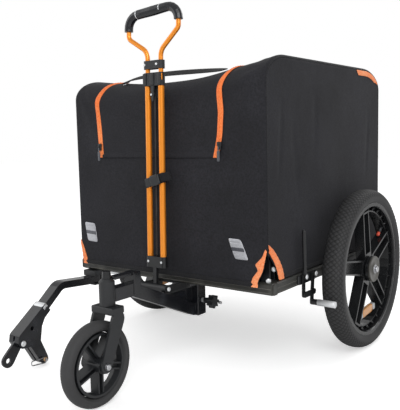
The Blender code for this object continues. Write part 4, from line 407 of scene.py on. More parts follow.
def turned(name: str, profile: Sequence[Sequence[float]], centre: Sequence[float], steps: int) -> Piece:
    """A solid of revolution about a line that runs across the trailer."""
    return spun(name, np.asarray(profile, float), centre, np.array([1.0, 0, 0]), np.array([0, 1.0, 0]), steps)


def dome(name: str, centre: Sequence[float], out: Sequence[float], radius: float, height: float) -> Piece:
    """A rivet or bolt head: a low dome on a short rim, turned about the direction that it looks in.

    The profile is a rim up to 35 % of the height, then a quarter ellipse to the middle.
    """
    rim = 0.35
    slanted = [0.3, 0.2, 0.93]
    turn = np.linspace(0, np.pi / 2, 6)
    crown = np.stack([height * (rim + (1 - rim) * np.sin(turn)), radius * np.cos(turn)], -1)
    profile = np.concatenate([[[0.0, 0.0], [0.0, radius]], crown])
    profile[-1, 1] = 0.0
    axis = unit(np.asarray(out, float))
    return spun(name, profile, centre, axis, unit(np.cross(axis, slanted)), 20)


def block(name: str, low: Sequence[float], high: Sequence[float], power: float, across: int = 2) -> Piece:
    """A moulded block with soft edges: superellipse sections that shrink at both ends of one axis.

    Args:
        name: Name of the piece.
        low: Lowest corner.
        high: Highest corner.
        power: Superellipse power of the section; higher is squarer.
        across: Axis number along which the sections are stacked.

    Returns:
        The new closed object.
    """
    low, high = np.asarray(low, float), np.asarray(high, float)
    half, middle = (high - low) / 2, (high + low) / 2
    a, b = [k for k in range(3) if k != across]
    t = np.linspace(-1, 1, 13)
    shrink = np.clip((1 - np.abs(t) ** 14) ** (1 / 5), 0.82, 1.0)
    section = ring(half[a], half[b], 40, power)
    points = np.zeros((len(t), len(section), 3))
    points[..., a] = middle[a] + section[:, 0] * shrink[:, None]
    points[..., b] = middle[b] + section[:, 1] * shrink[:, None]
    points[..., across] = middle[across] + (half[across] * t)[:, None]
    return capped(name, points)


def block_group(name: str, place: Sequence[float], parts: Sequence[tuple]) -> Piece:
    """Soft blocks round a place, joined into one piece.

    Args:
        name: Name of the piece.
        place: The point that the corners are measured from.
        parts: For each block its lowest corner, highest corner, power, and the axis it is stacked along.

    Returns:
        The joined object.
    """
    middle = np.asarray(place, float)
    made = [block("part", middle + low, middle + high, power, across) for low, high, power, across in parts]
    return merge(name, made)


def side_block(
    name: str,
    side: Side,
    out: Sequence[float],
    back: Sequence[float],
    up: Sequence[float],
    power: float,
    across: int,
) -> Piece:
    """A block on one side of the trailer.

    Args:
        name: Name of the piece.
        side: Its side.
        out: Its two distances from the trailer's middle.
        back: Its two distances behind the front rail.
        up: Its two heights.
        power: Superellipse power of its section.
        across: Axis number along which its sections are stacked.

    Returns:
        The new closed object.
    """
    x0, x1 = sorted(side.value * x for x in out)
    return block(name, (x0, back[0], up[0]), (x1, back[1], up[1]), power, across)


# Materials


def srgb(code: str) -> tuple[float, float, float, float]:
    """Linear colour of an sRGB hex code.

    Args:
        code: Six hex digits after a hash sign.

    Returns:
        Linear red, green, blue and an alpha of 1.
    """
    values = np.array([int(code[i : i + 2], 16) for i in (1, 3, 5)]) / 255
    linear = np.where(values <= 0.04045, values / 12.92, ((values + 0.055) / 1.055) ** 2.4)
    return (*(float(v) for v in linear), 1.0)


class Graph:
    """A material's node tree, built up from its Principled shader."""

    def __init__(self, name: str) -> None:
        """Starts a material with a plain Principled shader and the piece's own coordinates."""
        self.material = bpy.data.materials.new(name)
        self.material.use_nodes = True
        self.tree = self.material.node_tree
        self.shader = self.tree.nodes["Principled BSDF"]
        self.place = self.node("TexCoord").outputs["Object"]

    def node(self, kind: str, inputs: dict | None = None, **settings: object) -> bpy.types.Node:
        """Adds a node with its settings, and its input values or links.

        Args:
            kind: Node type without the ShaderNode prefix.
            inputs: Socket name or number to a value, or to an output socket that feeds it.
            settings: Attributes of the node.

        Returns:
            The new node.
        """
        made = self.tree.nodes.new("ShaderNode" + kind)
        for key, value in settings.items():
            setattr(made, key, value)
        for key, value in (inputs or {}).items():
            self.feed(made, key, value)
        return made

    def feed(self, node: bpy.types.Node, key: str | int, value: object) -> None:
        """Sets an input socket, by its name or number, or links an output socket to it."""
        if isinstance(value, bpy.types.NodeSocket):
            self.tree.links.new(value, node.inputs[key])
        else:
            node.inputs[key].default_value = value

    def shade(self, **inputs: object) -> bpy.types.Material:
        """Feeds the Principled shader and gives the material.

        Args:
            inputs: Values or sockets; underscores in their names stand for spaces.

        Returns:
            The finished material.
        """
        for key, value in inputs.items():
            self.feed(self.shader, key.replace("_", " "), value)
        return self.material


@dataclass(frozen=True)
class Moulded:
    """Glass-filled nylon, ABS or soft polymer, moulded with a fine spark-eroded grain.

    The grain breaks the highlight into a soft satin sheen, and the mould rounds every edge.
    """

    name: str
    colour: str
    pale: str
    roughness: float = 0.5
    grain_mm: float = 1.1
    depth: float = 0.25
    edge: float = 0.0007

    def build(self) -> bpy.types.Material:
        """The finished material."""
        g = Graph(self.name)
        grit = {"Vector": g.place, "Scale": 1000 / self.grain_mm, "Detail": 2.0}
        grain = g.node("TexNoise", grit).outputs["Fac"]
        cloud = g.node("TexNoise", {"Vector": g.place, "Scale": 14.0, "Detail": 3.0}).outputs["Fac"]
        tint = g.node("Mix", {"Factor": cloud, 6: srgb(self.colour), 7: srgb(self.pale)}, data_type="RGBA")
        edge = g.node("Bevel", {"Radius": self.edge}, samples=4).outputs[0]
        relief = {"Height": grain, "Strength": self.depth, "Distance": 0.0004, "Normal": edge}
        rough = {"Value": cloud, "To Min": self.roughness - 0.06, "To Max": self.roughness + 0.08}
        return g.shade(
            Base_Color=tint.outputs[2],
            Roughness=g.node("MapRange", rough).outputs[0],
            Normal=g.node("Bump", relief).outputs[0],
        )


@dataclass(frozen=True)
class Coated:
    """Steel under a baked powder coat: a faint orange-peel skin, rubbed paler in cloudy patches."""

    name: str
    colour: str
    worn: str
    roughness: float = 0.38
    edge: float = 0.0012

    def build(self) -> bpy.types.Material:
        """The finished material."""
        g = Graph(self.name)
        peel = g.node("TexNoise", {"Vector": g.place, "Scale": 420.0, "Detail": 1.0}).outputs["Fac"]
        cloud = g.node("TexNoise", {"Vector": g.place, "Scale": 22.0, "Detail": 4.0}).outputs["Fac"]
        wear = g.node("MapRange", {"Value": cloud, "From Min": 0.52, "From Max": 0.78}).outputs[0]
        tint = g.node("Mix", {"Factor": wear, 6: srgb(self.colour), 7: srgb(self.worn)}, data_type="RGBA")
        edge = g.node("Bevel", {"Radius": self.edge}, samples=4).outputs[0]
        relief = {"Height": peel, "Strength": 0.18, "Distance": 0.0004, "Normal": edge}
        rough = {"Value": cloud, "To Min": self.roughness - 0.06, "To Max": self.roughness + 0.1}
        return g.shade(
            Base_Color=tint.outputs[2],
            Roughness=g.node("MapRange", rough).outputs[0],
            Normal=g.node("Bump", relief).outputs[0],
        )


@dataclass(frozen=True)
class Metal:
    """Bare or anodised metal, drawn or turned: fine lines along its length stretch the highlight."""

    name: str
    colour: str
    roughness: float
    metallic: float = 1.0
    coat: float = 0.0
    stretch: tuple[float, float, float] = (900.0, 900.0, 30.0)
    dulled: float = 0.86
    edge: float = 0.0005

    def build(self) -> bpy.types.Material:
        """The finished material."""
        g = Graph(self.name)
        lines = g.node("Mapping", {"Vector": g.place, "Scale": self.stretch}).outputs[0]
        brushed = g.node("TexNoise", {"Vector": lines, "Scale": 1.0, "Detail": 2.0}).outputs["Fac"]
        cloud = g.node("TexNoise", {"Vector": g.place, "Scale": 30.0, "Detail": 3.0}).outputs["Fac"]
        bright = srgb(self.colour)
        dull = (*(self.dulled * value for value in bright[:3]), 1.0)
        tint = g.node("Mix", {"Factor": cloud, 6: bright, 7: dull}, data_type="RGBA")
        edge = g.node("Bevel", {"Radius": self.edge}, samples=4).outputs[0]
        relief = {"Height": brushed, "Strength": 0.12, "Distance": 0.0002, "Normal": edge}
        rough = {"Value": brushed, "To Min": self.roughness - 0.05, "To Max": self.roughness + 0.08}
        return g.shade(
            Base_Color=tint.outputs[2],
            Roughness=g.node("MapRange", rough).outputs[0],
            Normal=g.node("Bump", relief).outputs[0],
            Metallic=self.metallic,
            Coat_Weight=self.coat,
            Coat_Roughness=0.15,
        )


@dataclass(frozen=True)
class Woven:
    """Polyester cloth or webbing: threads over and under each other, on the piece's own map in metres.

    The weave is a product of two waves, one for each thread direction. Its 0.6 mm threads are too fine to
    show, so they are drawn at the pitch given here. The coated back makes the cloth stiff and a little shiny.
    """

    name: str
    colour: str
    pale: str
    pitch_mm: float = 2.2
    roughness: float = 0.78
    sheen: float = 0.25
    ribbed: bool = False

    def build(self) -> bpy.types.Material:
        """The finished material; a wave texture has 20 / (2 pi) bands to a unit of its scale."""
        g = Graph(self.name)
        wave = {
            "Vector": g.node("TexCoord").outputs["UV"],
            "Scale": 2 * math.pi / 20 * 1000 / self.pitch_mm,
            "Distortion": 0.4,
        }
        warp = g.node("TexWave", wave, bands_direction="X").outputs["Fac"]
        weft = g.node("TexWave", wave, bands_direction="Y").outputs["Fac"]
        mode = "MAXIMUM" if self.ribbed else "MULTIPLY"
        weave = g.node("Math", {0: warp, 1: weft}, operation=mode).outputs[0]
        patches = {"Vector": g.place, "Scale": 7.0, "Detail": 6.0, "Roughness": 0.6}
        cloud = g.node("TexNoise", patches).outputs["Fac"]
        fleck = g.node("TexNoise", {"Vector": g.place, "Scale": 260.0, "Detail": 2.0}).outputs["Fac"]
        mottle = g.node("Math", {0: cloud, 1: fleck}, operation="MULTIPLY").outputs[0]
        share = g.node("MapRange", {"Value": mottle, "From Min": 0.12, "From Max": 0.42}).outputs[0]
        tint = g.node("Mix", {"Factor": share, 6: srgb(self.colour), 7: srgb(self.pale)}, data_type="RGBA")
        slack = {"Vector": g.place, "Scale": 16.0, "Detail": 4.0, "Distortion": 0.8}
        creases = g.node("TexNoise", slack).outputs["Fac"]
        soft = g.node("Bump", {"Height": creases, "Strength": 0.25, "Distance": 0.004}).outputs[0]
        relief = {"Height": weave, "Strength": 0.35, "Distance": 0.0005, "Normal": soft}
        return g.shade(
            Base_Color=tint.outputs[2],
            Roughness=self.roughness,
            Normal=g.node("Bump", relief).outputs[0],
            Specular_IOR_Level=0.18,
            Sheen_Weight=self.sheen,
            Sheen_Roughness=0.5,
        )


@dataclass(frozen=True)
class Rubber:
    """Vulcanised tyre rubber, dull, with a dry bloom that turns it a little brown-grey."""

    name: str
    colour: str
    bloom: str
    # Colour of the tread grooves: dirt there and painted shade.
    groove: str = "#0b0b0b"

    def build(self) -> bpy.types.Material:
        """The finished material; the groove attribute darkens the grooves with dirt and painted shade."""
        g = Graph(self.name)
        cloud = g.node("TexNoise", {"Vector": g.place, "Scale": 18.0, "Detail": 5.0}).outputs["Fac"]
        grain = g.node("TexNoise", {"Vector": g.place, "Scale": 700.0, "Detail": 2.0}).outputs["Fac"]
        skin = g.node("Mix", {"Factor": cloud, 6: srgb(self.colour), 7: srgb(self.bloom)}, data_type="RGBA")
        # Painted shade and dirt: the tread grooves are mixed towards the groove colour.
        groove_dirt_and_shade = g.node("Attribute", attribute_name="groove").outputs["Fac"]
        tint = g.node("Mix", {"Factor": groove_dirt_and_shade, 6: skin.outputs[2], 7: srgb(self.groove)}, data_type="RGBA")
        relief = {"Height": grain, "Strength": 0.2, "Distance": 0.0003}
        return g.shade(
            Base_Color=tint.outputs[2],
            Roughness=0.66,
            Normal=g.node("Bump", relief).outputs[0],
            Specular_IOR_Level=0.4,
        )


@dataclass(frozen=True)
class Reflective:
    """Retroreflective film or a moulded reflector: cells a few millimetres wide under clear plastic."""

    name: str
    colour: str
    cell: str
    pitch_mm: float = 3.0
    clear: float = 0.6
    silver: float = 0.35

    def build(self) -> bpy.types.Material:
        """The finished material."""
        g = Graph(self.name)
        lattice = {"Vector": g.place, "Scale": 1000 / self.pitch_mm, "Randomness": 0.15}
        cells = g.node("TexVoronoi", lattice).outputs["Distance"]
        share = g.node("MapRange", {"Value": cells, "From Max": 0.6}).outputs[0]
        tint = g.node("Mix", {"Factor": share, 6: srgb(self.colour), 7: srgb(self.cell)}, data_type="RGBA")
        relief = {"Height": cells, "Strength": 0.3, "Distance": 0.0006}
        return g.shade(
            Base_Color=tint.outputs[2],
            Roughness=0.3,
            Metallic=self.silver,
            Normal=g.node("Bump", relief).outputs[0],
            Coat_Weight=self.clear,
            Coat_Roughness=0.1,
        )


FINISHES = {
    "oxford_cloth": Woven("polyester_oxford_cloth", "#1d1d20", "#2b2b30", 2.2, 0.78, 0.04),
    "cloth_binding": Woven("grosgrain_binding", "#18181a", "#28282b", 1.6, 0.7, 0.05, True),
    "orange_binding": Woven("orange_grosgrain_binding", "#f67a3c", "#ffab7a", 1.6, 0.62, 0.05, True),
    "orange_zip": Woven("orange_zip_tape", "#f0702f", "#ff9a5c", 1.1, 0.45, 0.05, True),
    "webbing": Woven("polypropylene_webbing", "#0c0c0e", "#1b1b1e", 2.4, 0.6, 0.04, True),
    "rail_coat": Coated("bronze_black_powder_coat", "#2c2c29", "#4b4a45", 0.34),
    # Paler coat for thin strips along the rails: it paints highlight lines on them.
    "rail_highlight_strip": Coated("worn_rail_edge", "#55544f", "#77756e", 0.3),
    "black_coat": Coated("black_powder_coat", "#151618", "#2b2d30", 0.3),
    "arm_coat": Coated("satin_black_enamel", "#131418", "#2a2c32", 0.14),
    "orange_tube": Metal("orange_anodised_aluminium", "#ff9a26", 0.3, 0.55, 0.35),
    "zinc": Metal("zinc_plated_steel", "#c9cacd", 0.28),
    "pale_zinc": Metal("bright_zinc_plated_steel", "#eceef0", 0.36, 0.45),
    "brass": Metal("yellow_passivated_steel", "#d9b48a", 0.3, 0.8),
    "pale_nylon": Moulded("pale_grey_nylon", "#a4a6a8", "#c4c6c8", 0.45),
    "nylon": Moulded("glass_filled_nylon", "#17181a", "#26282b", 0.42),
    "wheel_nylon": Moulded("moulded_wheel_nylon", "#141516", "#222325", 0.24, 1.4),
    "grip_polymer": Moulded("gloss_grip_polymer", "#111216", "#1f2025", 0.18, 1.6, 0.1),
    "acetal": Moulded("black_acetal", "#141517", "#242629", 0.3),
    "hub_grey": Moulded("grey_hub_cap", "#3b3a37", "#57554f", 0.32),
    "zip_pull": Moulded("grey_zip_pull", "#3f4146", "#5b5e64", 0.25),
    "matt_grip": Moulded("matt_grip_polymer", "#26272b", "#36383d", 0.55, 1.2, 0.5),
    "red_cap": Moulded("red_valve_cap", "#e0452c", "#f0705a", 0.25),
    "dark_film": Reflective("smoked_reflective_film", "#6a6b73", "#45464d"),
    "floor_board": Moulded("polypropylene_floor_board", "#1c1c1d", "#2a2a2b", 0.6, 2.0),
    "tyre": Rubber("tyre_rubber", "#2b2b2c", "#3f3f40"),
    "caster_tyre": Rubber("caster_tyre_rubber", "#303031", "#434344"),
    "reflective": Reflective("reflective_film", "#dcdde2", "#a4a5ab"),
    "amber": Reflective("amber_acrylic_reflector", "#e8a032", "#c87f1c", 2.0, 1.0, 0.0),
}


class Finishes:
    """Builds each finish once, when a piece first asks for it."""

    def __init__(self) -> None:
        """Starts with no material built."""
        self.built: dict[str, bpy.types.Material] = {}

    def __getitem__(self, key: str) -> bpy.types.Material:
        """The material of a finish."""
        if key not in self.built:
            self.built[key] = FINISHES[key].build()
        return self.built[key]


MATERIALS = Finishes()


def dress(
    obj: Piece, finish: str, body: str, folds: bool = False, replaces: Iterable[str] = ()
) -> Piece:
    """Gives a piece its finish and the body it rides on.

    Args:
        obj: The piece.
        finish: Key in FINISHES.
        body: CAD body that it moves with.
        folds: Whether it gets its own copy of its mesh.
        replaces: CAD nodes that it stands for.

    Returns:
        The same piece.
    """
    obj.data.materials.clear()
    obj.data.materials.append(MATERIALS[finish])
    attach(obj, body)
    for node in replaces:
        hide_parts(node)
    if folds:
        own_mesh(obj)
    LOG.info("%s: %s on %s, %d faces", obj.name, finish, body, len(obj.data.polygons))
    return obj


def sewn(obj: Piece, finish: str, replaces: Iterable[str] = ()) -> Piece:
    """Dresses a piece that belongs to the cloth and rides on the trailer, with its own copy of its mesh."""
    return dress(obj, finish, "trailer", True, replaces)


def end_heads(
    name: str, node: str, inset: float, place: tuple, size: tuple, finish: str, body: str, lean: float = 0.0
) -> None:
    """Builds and dresses a bolt head at the right and the left end of a CAD node.

    Args:
        name: Name of the pieces, without their side.
        node: CAD node whose box tells where its two ends are.
        inset: How far inside its end each head starts.
        place: Distance behind the front rail, and height.
        size: Radius and height of a head.
        finish: Key in FINISHES.
        body: CAD body that they move with.
        lean: How much they look back, beside the 1 that they look outward.
    """
    low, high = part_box(node)
    for word, x, out in (("right", high.x, 1), ("left", low.x, -1)):
        head = dome(f"{name}_{word}", (x - out * inset, *place), (out, lean, 0), *size)
        dress(head, finish, body)


# Sub-assemblies


@dataclass(frozen=True)
class CornerCut:
    """A cut-out at a lower corner of the cabin, with the orange binding round it.

    Each outline holds (height, distance from the corner) pairs: the edge of the cut and the outer edge of
    the binding, on the front or rear face and on the side panel.
    """

    side: Side
    rear: bool
    face_cut: tuple
    face_edge: tuple
    side_cut: tuple
    side_edge: tuple


RIGHT_FRONT_CUT = CornerCut(
    side=Side.RIGHT,
    rear=False,
    face_cut=(
        (0.200, 0.024), (0.2225, 0.023), (0.233, 0.0235), (0.242, 0.020), (0.254, 0.013), (0.266, 0.0085),
        (0.280, 0.006), (0.292, 0.0045), (0.303, 0.003),
    ),
    face_edge=(
        (0.2225, 0.041), (0.230, 0.0405), (0.242, 0.0365), (0.251, 0.030), (0.259, 0.0235), (0.265, 0.0245),
        (0.272, 0.0285), (0.280, 0.022), (0.289, 0.013), (0.298, 0.008), (0.308, 0.005),
    ),
    side_cut=(
        (0.200, 0.054), (0.2225, 0.052), (0.2325, 0.0495), (0.246, 0.045), (0.258, 0.040), (0.273, 0.031),
        (0.291, 0.016), (0.303, 0.004),
    ),
    side_edge=(
        (0.2316, 0.0725), (0.244, 0.070), (0.258, 0.064), (0.272, 0.055), (0.289, 0.041), (0.304, 0.026),
        (0.315, 0.010), (0.317, 0.003),
    ),
)
LEFT_FRONT_CUT = CornerCut(
    side=Side.LEFT,
    rear=False,
    face_cut=((0.200, 0.012), (0.2225, 0.010), (0.240, 0.008), (0.258, 0.006), (0.272, 0.003)),
    face_edge=((0.2225, 0.027), (0.238, 0.024), (0.252, 0.019), (0.268, 0.013), (0.285, 0.004)),
    side_cut=((0.200, 0.046), (0.2225, 0.044), (0.240, 0.036), (0.258, 0.022), (0.272, 0.006)),
    side_edge=((0.2316, 0.060), (0.244, 0.054), (0.258, 0.042), (0.272, 0.026), (0.285, 0.004)),
)


def rear_cut(side: Side) -> CornerCut:
    """The small cut-out at a rear corner."""
    return CornerCut(
        side=side,
        rear=True,
        face_cut=((0.200, 0.022), (0.2225, 0.021), (0.238, 0.017), (0.250, 0.010), (0.258, 0.003)),
        face_edge=((0.2225, 0.034), (0.238, 0.030), (0.252, 0.021), (0.262, 0.012), (0.270, 0.003)),
        side_cut=((0.200, 0.026), (0.2225, 0.025), (0.238, 0.020), (0.250, 0.012), (0.258, 0.003)),
        side_edge=((0.2316, 0.038), (0.242, 0.034), (0.254, 0.024), (0.262, 0.014), (0.270, 0.003)),
    )


def front_steps(straight: int, curve: int, roof: int) -> Array:
    """The parameter of Cabin.on_front, with a number of steps for each of its three stretches."""
    up, over = np.linspace(0, 1, straight), 1 + np.linspace(0, 1, curve)[1:]
    return np.concatenate([up, over, 2 + np.linspace(0, 1, roof)[1:]])


@dataclass
class Cabin:
    """The cloth cabin: front, roof and rear in one sheet, two side panels, and everything sewn to them."""

    hem_height = 0.2316
    half_width: float = 0.289
    front: float = -0.0105
    rear: float = 0.612
    front_hem: float = 0.2225
    roof_left: float = 0.704
    roof_right: float = 0.724
    sag_front: float = 0.0315
    sag_rear: float = 0.010
    front_reach: float = 0.090
    front_drop: float = 0.054
    rear_reach: float = 0.105
    rear_drop: float = 0.057
    corner_radius: float = 0.007
    wall: float = 0.0022
    wave_height: float = 0.0013
    fold_height: float = 0.0011
    fold_reach: float = 0.22
    belly: float = 0.0030
    belly_wave: float = 0.0016
    crease_depth: float = 0.0016
    crease_width: float = 0.007
    binding_wall: float = 0.0016
    binding_crown: float = 0.0014
    pucker: float = 0.0003
    roof_reach: float = 0.012
    flap_hem: float = 0.503
    zip_left: tuple = (
        (0.49, -0.1945), (0.534, -0.1955), (0.566, -0.1975), (0.604, -0.2010), (0.635, -0.2030),
        (0.660, -0.2000), (0.700, -0.1930),
    )
    zip_right: tuple = (
        (0.49, 0.1590), (0.515, 0.1650), (0.532, 0.1695), (0.555, 0.1740), (0.604, 0.1770), (0.652, 0.1745),
        (0.670, 0.1755), (0.700, 0.1830),
    )
    zip_half: float = 0.0072
    tape_lift: float = 0.0022
    tape_wall: float = 0.0011
    coil_height: float = 0.0016
    coil_share: float = 0.30
    tooth_pitch: float = 0.0026
    tooth_share: float = 0.22
    flap_wall: float = 0.0010
    flap_lift: float = 0.0011
    slider_shift: float = 0.0075
    strap_ends: tuple = (-0.160, 0.150)
    strap_bow: float = 0.0095
    strap_lift: float = 0.0046
    strap_half: float = 0.0125
    strap_wall: float = 0.0011
    ring_wire: float = 0.0014
    patch_lift: float = 0.0012
    patch_wall: float = 0.0010
    band_lift: float = 0.0027
    band_wall: float = 0.0006
    door_half: float = 0.211
    door_low: float = 0.264
    door_high: float = 0.571
    creases: tuple = ((0.047, 0.44, 0.64), (0.112, 0.40, 0.60), (0.205, 0.46, 0.66), (0.520, 0.42, 0.62))
    patches: tuple = (
        ((0.190, 0.326), (0.224, 0.325), (0.244, 0.280), (0.208, 0.280)),
        ((-0.269, 0.334), (-0.232, 0.332), (-0.223, 0.282), (-0.259, 0.284)),
    )
    trims: list = field(default_factory=list)

    def roof(self, across: Array, back: Array | float) -> Array:
        """Height of the roof.

        It rises in a line from left to right, less a sag that is a parabola across, deeper at the front.
        """
        share = (across + self.half_width) / (2 * self.half_width)
        sag = self.sag_front + (self.sag_rear - self.sag_front) * (back / self.rear)
        edge = self.roof_left + (self.roof_right - self.roof_left) * share
        return edge - sag * (1 - np.clip(across / self.half_width, -1, 1) ** 2)

    def side_view(self, across: Array, count: int, inset: float = 0.0) -> Array:
        """The cabin's side view at each place across: up the front, over the roof and down the rear.

        The front and rear are straight, the two top edges are quarter ellipses, and the roof is straight
        between them. Points are spread over the five stretches by about their lengths.

        Args:
            across: (m,) places across.
            count: Number of points of each side view.
            inset: How far the view lies inside the outer one.

        Returns:
            (count, m, 3) grid of points.
        """
        low = self.front_hem
        r1, d1, r2, d2 = self.front_reach, self.front_drop, self.rear_reach, self.rear_drop
        y1, y2 = self.front + r1, self.rear - r2
        z1, z2 = self.roof(across, y1) - d1, self.roof(across, y2) - d2
        lengths = np.array([z1.mean() - low, 0.12, y2 - y1, 0.13, z2.mean() - low])
        ends = np.concatenate([[0.0], np.cumsum(lengths) / lengths.sum()])
        s = np.linspace(0, 1, count)
        part = np.clip(np.searchsorted(ends, s, side="right") - 1, 0, 4)
        t = ((s - ends[part]) / (ends[part + 1] - ends[part]))[:, None]
        one = np.ones_like(across)[None]
        rise, fall = t * np.pi / 2, (1 - t) * np.pi / 2
        y_parts = [
            (self.front + inset) * one * np.ones_like(t),
            (y1 - (r1 - inset) * np.cos(rise)) * one,
            (y1 + (y2 - y1) * t) * one,
            (y2 + (r2 - inset) * np.cos(fall)) * one,
            (self.rear - inset) * one * np.ones_like(t),
        ]
        z_parts = [
            low + (z1[None] - low) * t,
            z1[None] + (d1 - inset) * np.sin(rise),
            z1[None] + d1 - inset + (z2[None] + d2 - z1[None] - d1) * t,
            z2[None] + (d2 - inset) * np.sin(fall),
            z2[None] + (low - z2[None]) * t,
        ]
        y, z = (np.choose(part[:, None], values) for values in (y_parts, z_parts))
        return np.stack([np.broadcast_to(across[None], y.shape), y, z], -1)

    def ripples(self, points: Array) -> Array:
        """How far the cloth stands off its frame at each point, in metres.

        A sum of slow waves whose phases drift with height, plus short tension folds that fan out of the top
        corners; all die out towards the hems and side edges.
        """
        x, y, z = points[..., 0], points[..., 1], points[..., 2]
        slow = np.sin(9 * x + 5 * z + 1.3) * np.sin(11 * z - 3 * y + 0.4)
        slow = slow + 0.6 * np.sin(17 * x - 8 * y + 6 * z)
        fold = np.zeros_like(x)
        for side in (-1, 1):
            dx, dz = side * self.half_width - x, 0.70 - z
            angle = np.arctan2(dz, side * dx + 1e-6)
            reach = np.hypot(dx, dz)
            fade = bell(reach, 0.0, self.fold_reach) * np.clip(reach / 0.05, 0, 1)
            fold += np.sin(14 * angle + side) * fade
        inside = np.clip((self.half_width - np.abs(x)) / 0.05, 0, 1)
        edge = inside * np.clip((z - self.front_hem) / 0.06, 0, 1)
        return edge * (self.wave_height * slow + self.fold_height * fold)

    def on_front(self, across: Array, t: Array, lift: Array | float = 0.0) -> Array:
        """Points on the cabin's front.

        The parameter runs from 0 to 1 up the straight front from the flap's hem, from 1 to 2 round the top
        edge's quarter ellipse, and from 2 to 3 back along the roof. Each point is moved along the cloth's
        normal by the ripples and the lift.

        Args:
            across: Places across.
            t: Parameter, of the same shape.
            lift: Distance off the cloth.

        Returns:
            Array of points of the same shape, with a last axis of 3.
        """
        r, d = self.front_reach, self.front_drop
        turn = np.clip(t - 1, 0, 1) * np.pi / 2
        over = np.clip(t - 2, 0, 1)
        top = self.roof(across, self.front + r) - d
        y = self.front + r - r * np.cos(turn) + self.roof_reach * over
        z = np.where(t <= 1, self.flap_hem + (top - self.flap_hem) * np.clip(t, 0, 1), top + d * np.sin(turn))
        z = np.where(over > 0, self.roof(across, y), z)
        points = np.stack([across, y, z], -1)
        normal = unit(np.stack([np.zeros_like(y), -np.cos(turn) / r, np.sin(turn) / d], -1))
        return points + normal * (self.ripples(points) + lift)[..., None]

    def wrap(self) -> Piece:
        """The front, roof and rear as one sheet, whose side edges turn the corners in quarter circles."""
        r = self.corner_radius
        straight = self.half_width - r
        flat = np.linspace(-1, 1, 97) * straight
        turn = np.linspace(0, np.pi / 2, 6)[1:]
        reach, turned_in = straight + r * np.sin(turn), r * (1 - np.cos(turn))
        across = np.concatenate([-reach[::-1], flat, reach])
        inset = np.concatenate([turned_in[::-1], np.zeros_like(flat), turned_in])
        outer = self.side_view(across, 250)
        inner = self.side_view(across, 250, inset=r)
        points = outer + (inner - outer) * (inset / r)[None, :, None]
        along = np.gradient(outer, axis=0)
        normal = unit(np.stack([np.zeros(outer.shape[:2]), -along[..., 2], along[..., 1]], -1))
        return cloth("cabin_wrap", points + normal * self.ripples(points)[..., None], self.wall)

    def side_outline(self, side: Side, inset: float) -> Array:
        """The top edge of a side panel from front to rear: quarter ellipse, roof line, quarter ellipse.

        Args:
            side: Side of the panel.
            inset: How far it lies inside the cabin's outline.

        Returns:
            (n, 3) points.
        """
        x = np.array(side.value * self.half_width)
        turn = np.linspace(0, np.pi / 2, 22)
        r1, d1, r2, d2 = self.front_reach, self.front_drop, self.rear_reach, self.rear_drop
        y1, y2 = self.front + r1, self.rear - r2
        z1, z2 = self.roof(x, y1) - d1, self.roof(x, y2) - d2
        roof = np.linspace(y1, y2, 42)[1:-1]
        rise, fall = z1 + (d1 - inset) * np.sin(turn), z2 + (d2 - inset) * np.cos(turn)
        y = np.concatenate([y1 - (r1 - inset) * np.cos(turn), roof, y2 + (r2 - inset) * np.sin(turn)])
        z = np.concatenate([rise, self.roof(x, roof) - inset, fall])
        return np.stack([np.full_like(y, float(x)), y, z], -1)

    def side_panel(self, side: Side) -> Piece:
        """One side panel: straight lines from the hem up to the top edge, bellied out a few millimetres.

        The belly is a half sine along and up the panel, with slow waves on it and a few upright creases.
        """
        top = self.side_outline(side, self.corner_radius)
        s = np.linspace(0, 1, 80)[:, None]
        points = np.repeat(top[None], len(s), 0)
        points[..., 2] = self.hem_height + (top[:, 2] - self.hem_height) * s
        y, z = points[..., 1], points[..., 2]
        middle = np.sin(np.pi * np.clip((y - self.front) / (self.rear - self.front), 0, 1))
        height = np.sin(np.pi * np.clip((z - self.hem_height) / (0.70 - self.hem_height), 0, 1))
        wave = np.sin(10 * y + 6 * z) * np.sin(13 * z - 4 * y + 0.7) + 0.7 * np.sin(21 * y - 9 * z + 1.1)
        crease = np.zeros_like(y)
        for place, low, high in self.creases:
            drift = place + 0.012 * np.sin(9 * z + 40 * place)
            crease += np.clip(np.minimum(z - low, high - z) / 0.06, 0, 1) * bell(y, drift, self.crease_width)
        belly = middle * height * (self.belly + self.belly_wave * wave)
        points[..., 0] += side.value * (belly - self.crease_depth * crease)
        return cloth(f"cabin_side_{side.word}", points, self.wall)

    def arch(self, cut: CornerCut) -> Piece:
        """The cutter of one corner cut-out.

        At each height its section is an ellipse round the corner, whose two half-widths are read from the
        cut-out's outline on the face and on the side.
        """
        z = np.linspace(cut.face_cut[0][0], cut.face_cut[-1][0], 36)
        a = np.interp(z, *np.array(cut.face_cut).T)
        b = np.interp(z, *np.array(cut.side_cut).T)
        turn = full_turn(48)
        x = cut.side.value * self.half_width + a[:, None] * np.cos(turn)
        y = (self.rear if cut.rear else self.front) + b[:, None] * np.sin(turn)
        return capped("arch", np.stack([x, y, np.broadcast_to(z[:, None], x.shape)], -1))

    def corner_point(self, cut: CornerCut, reach: Array, z: Array, on_side: bool) -> tuple[Array, Array]:
        """Places near a corner, and the cloth's normal there.

        The reach is measured from the corner along the face, round the corner's quarter circle, or back along
        the side panel.

        Args:
            cut: The cut-out at the corner.
            reach: (n,) distances from the corner.
            z: (n,) heights.
            on_side: Whether the places are on the side panel.

        Returns:
            The (n, 3) points and (n, 3) normals.
        """
        r, s, inward = self.corner_radius, cut.side.value, -1.0 if cut.rear else 1.0
        back = self.rear if cut.rear else self.front
        if on_side:
            x = np.full_like(z, s * self.half_width)
            y = back + inward * np.maximum(reach, r)
            normal = np.stack([np.full_like(z, s), np.zeros_like(z), np.zeros_like(z)], -1)
        else:
            turn = np.clip((r - reach) / r, 0, 1) * np.pi / 2
            x = s * (self.half_width - np.maximum(reach, r) + r * np.sin(turn))
            y = back + inward * r * (1 - np.cos(turn))
            normal = np.stack([s * np.sin(turn), -inward * np.cos(turn), np.zeros_like(z)], -1)
        return np.stack([x, y, z], -1), normal

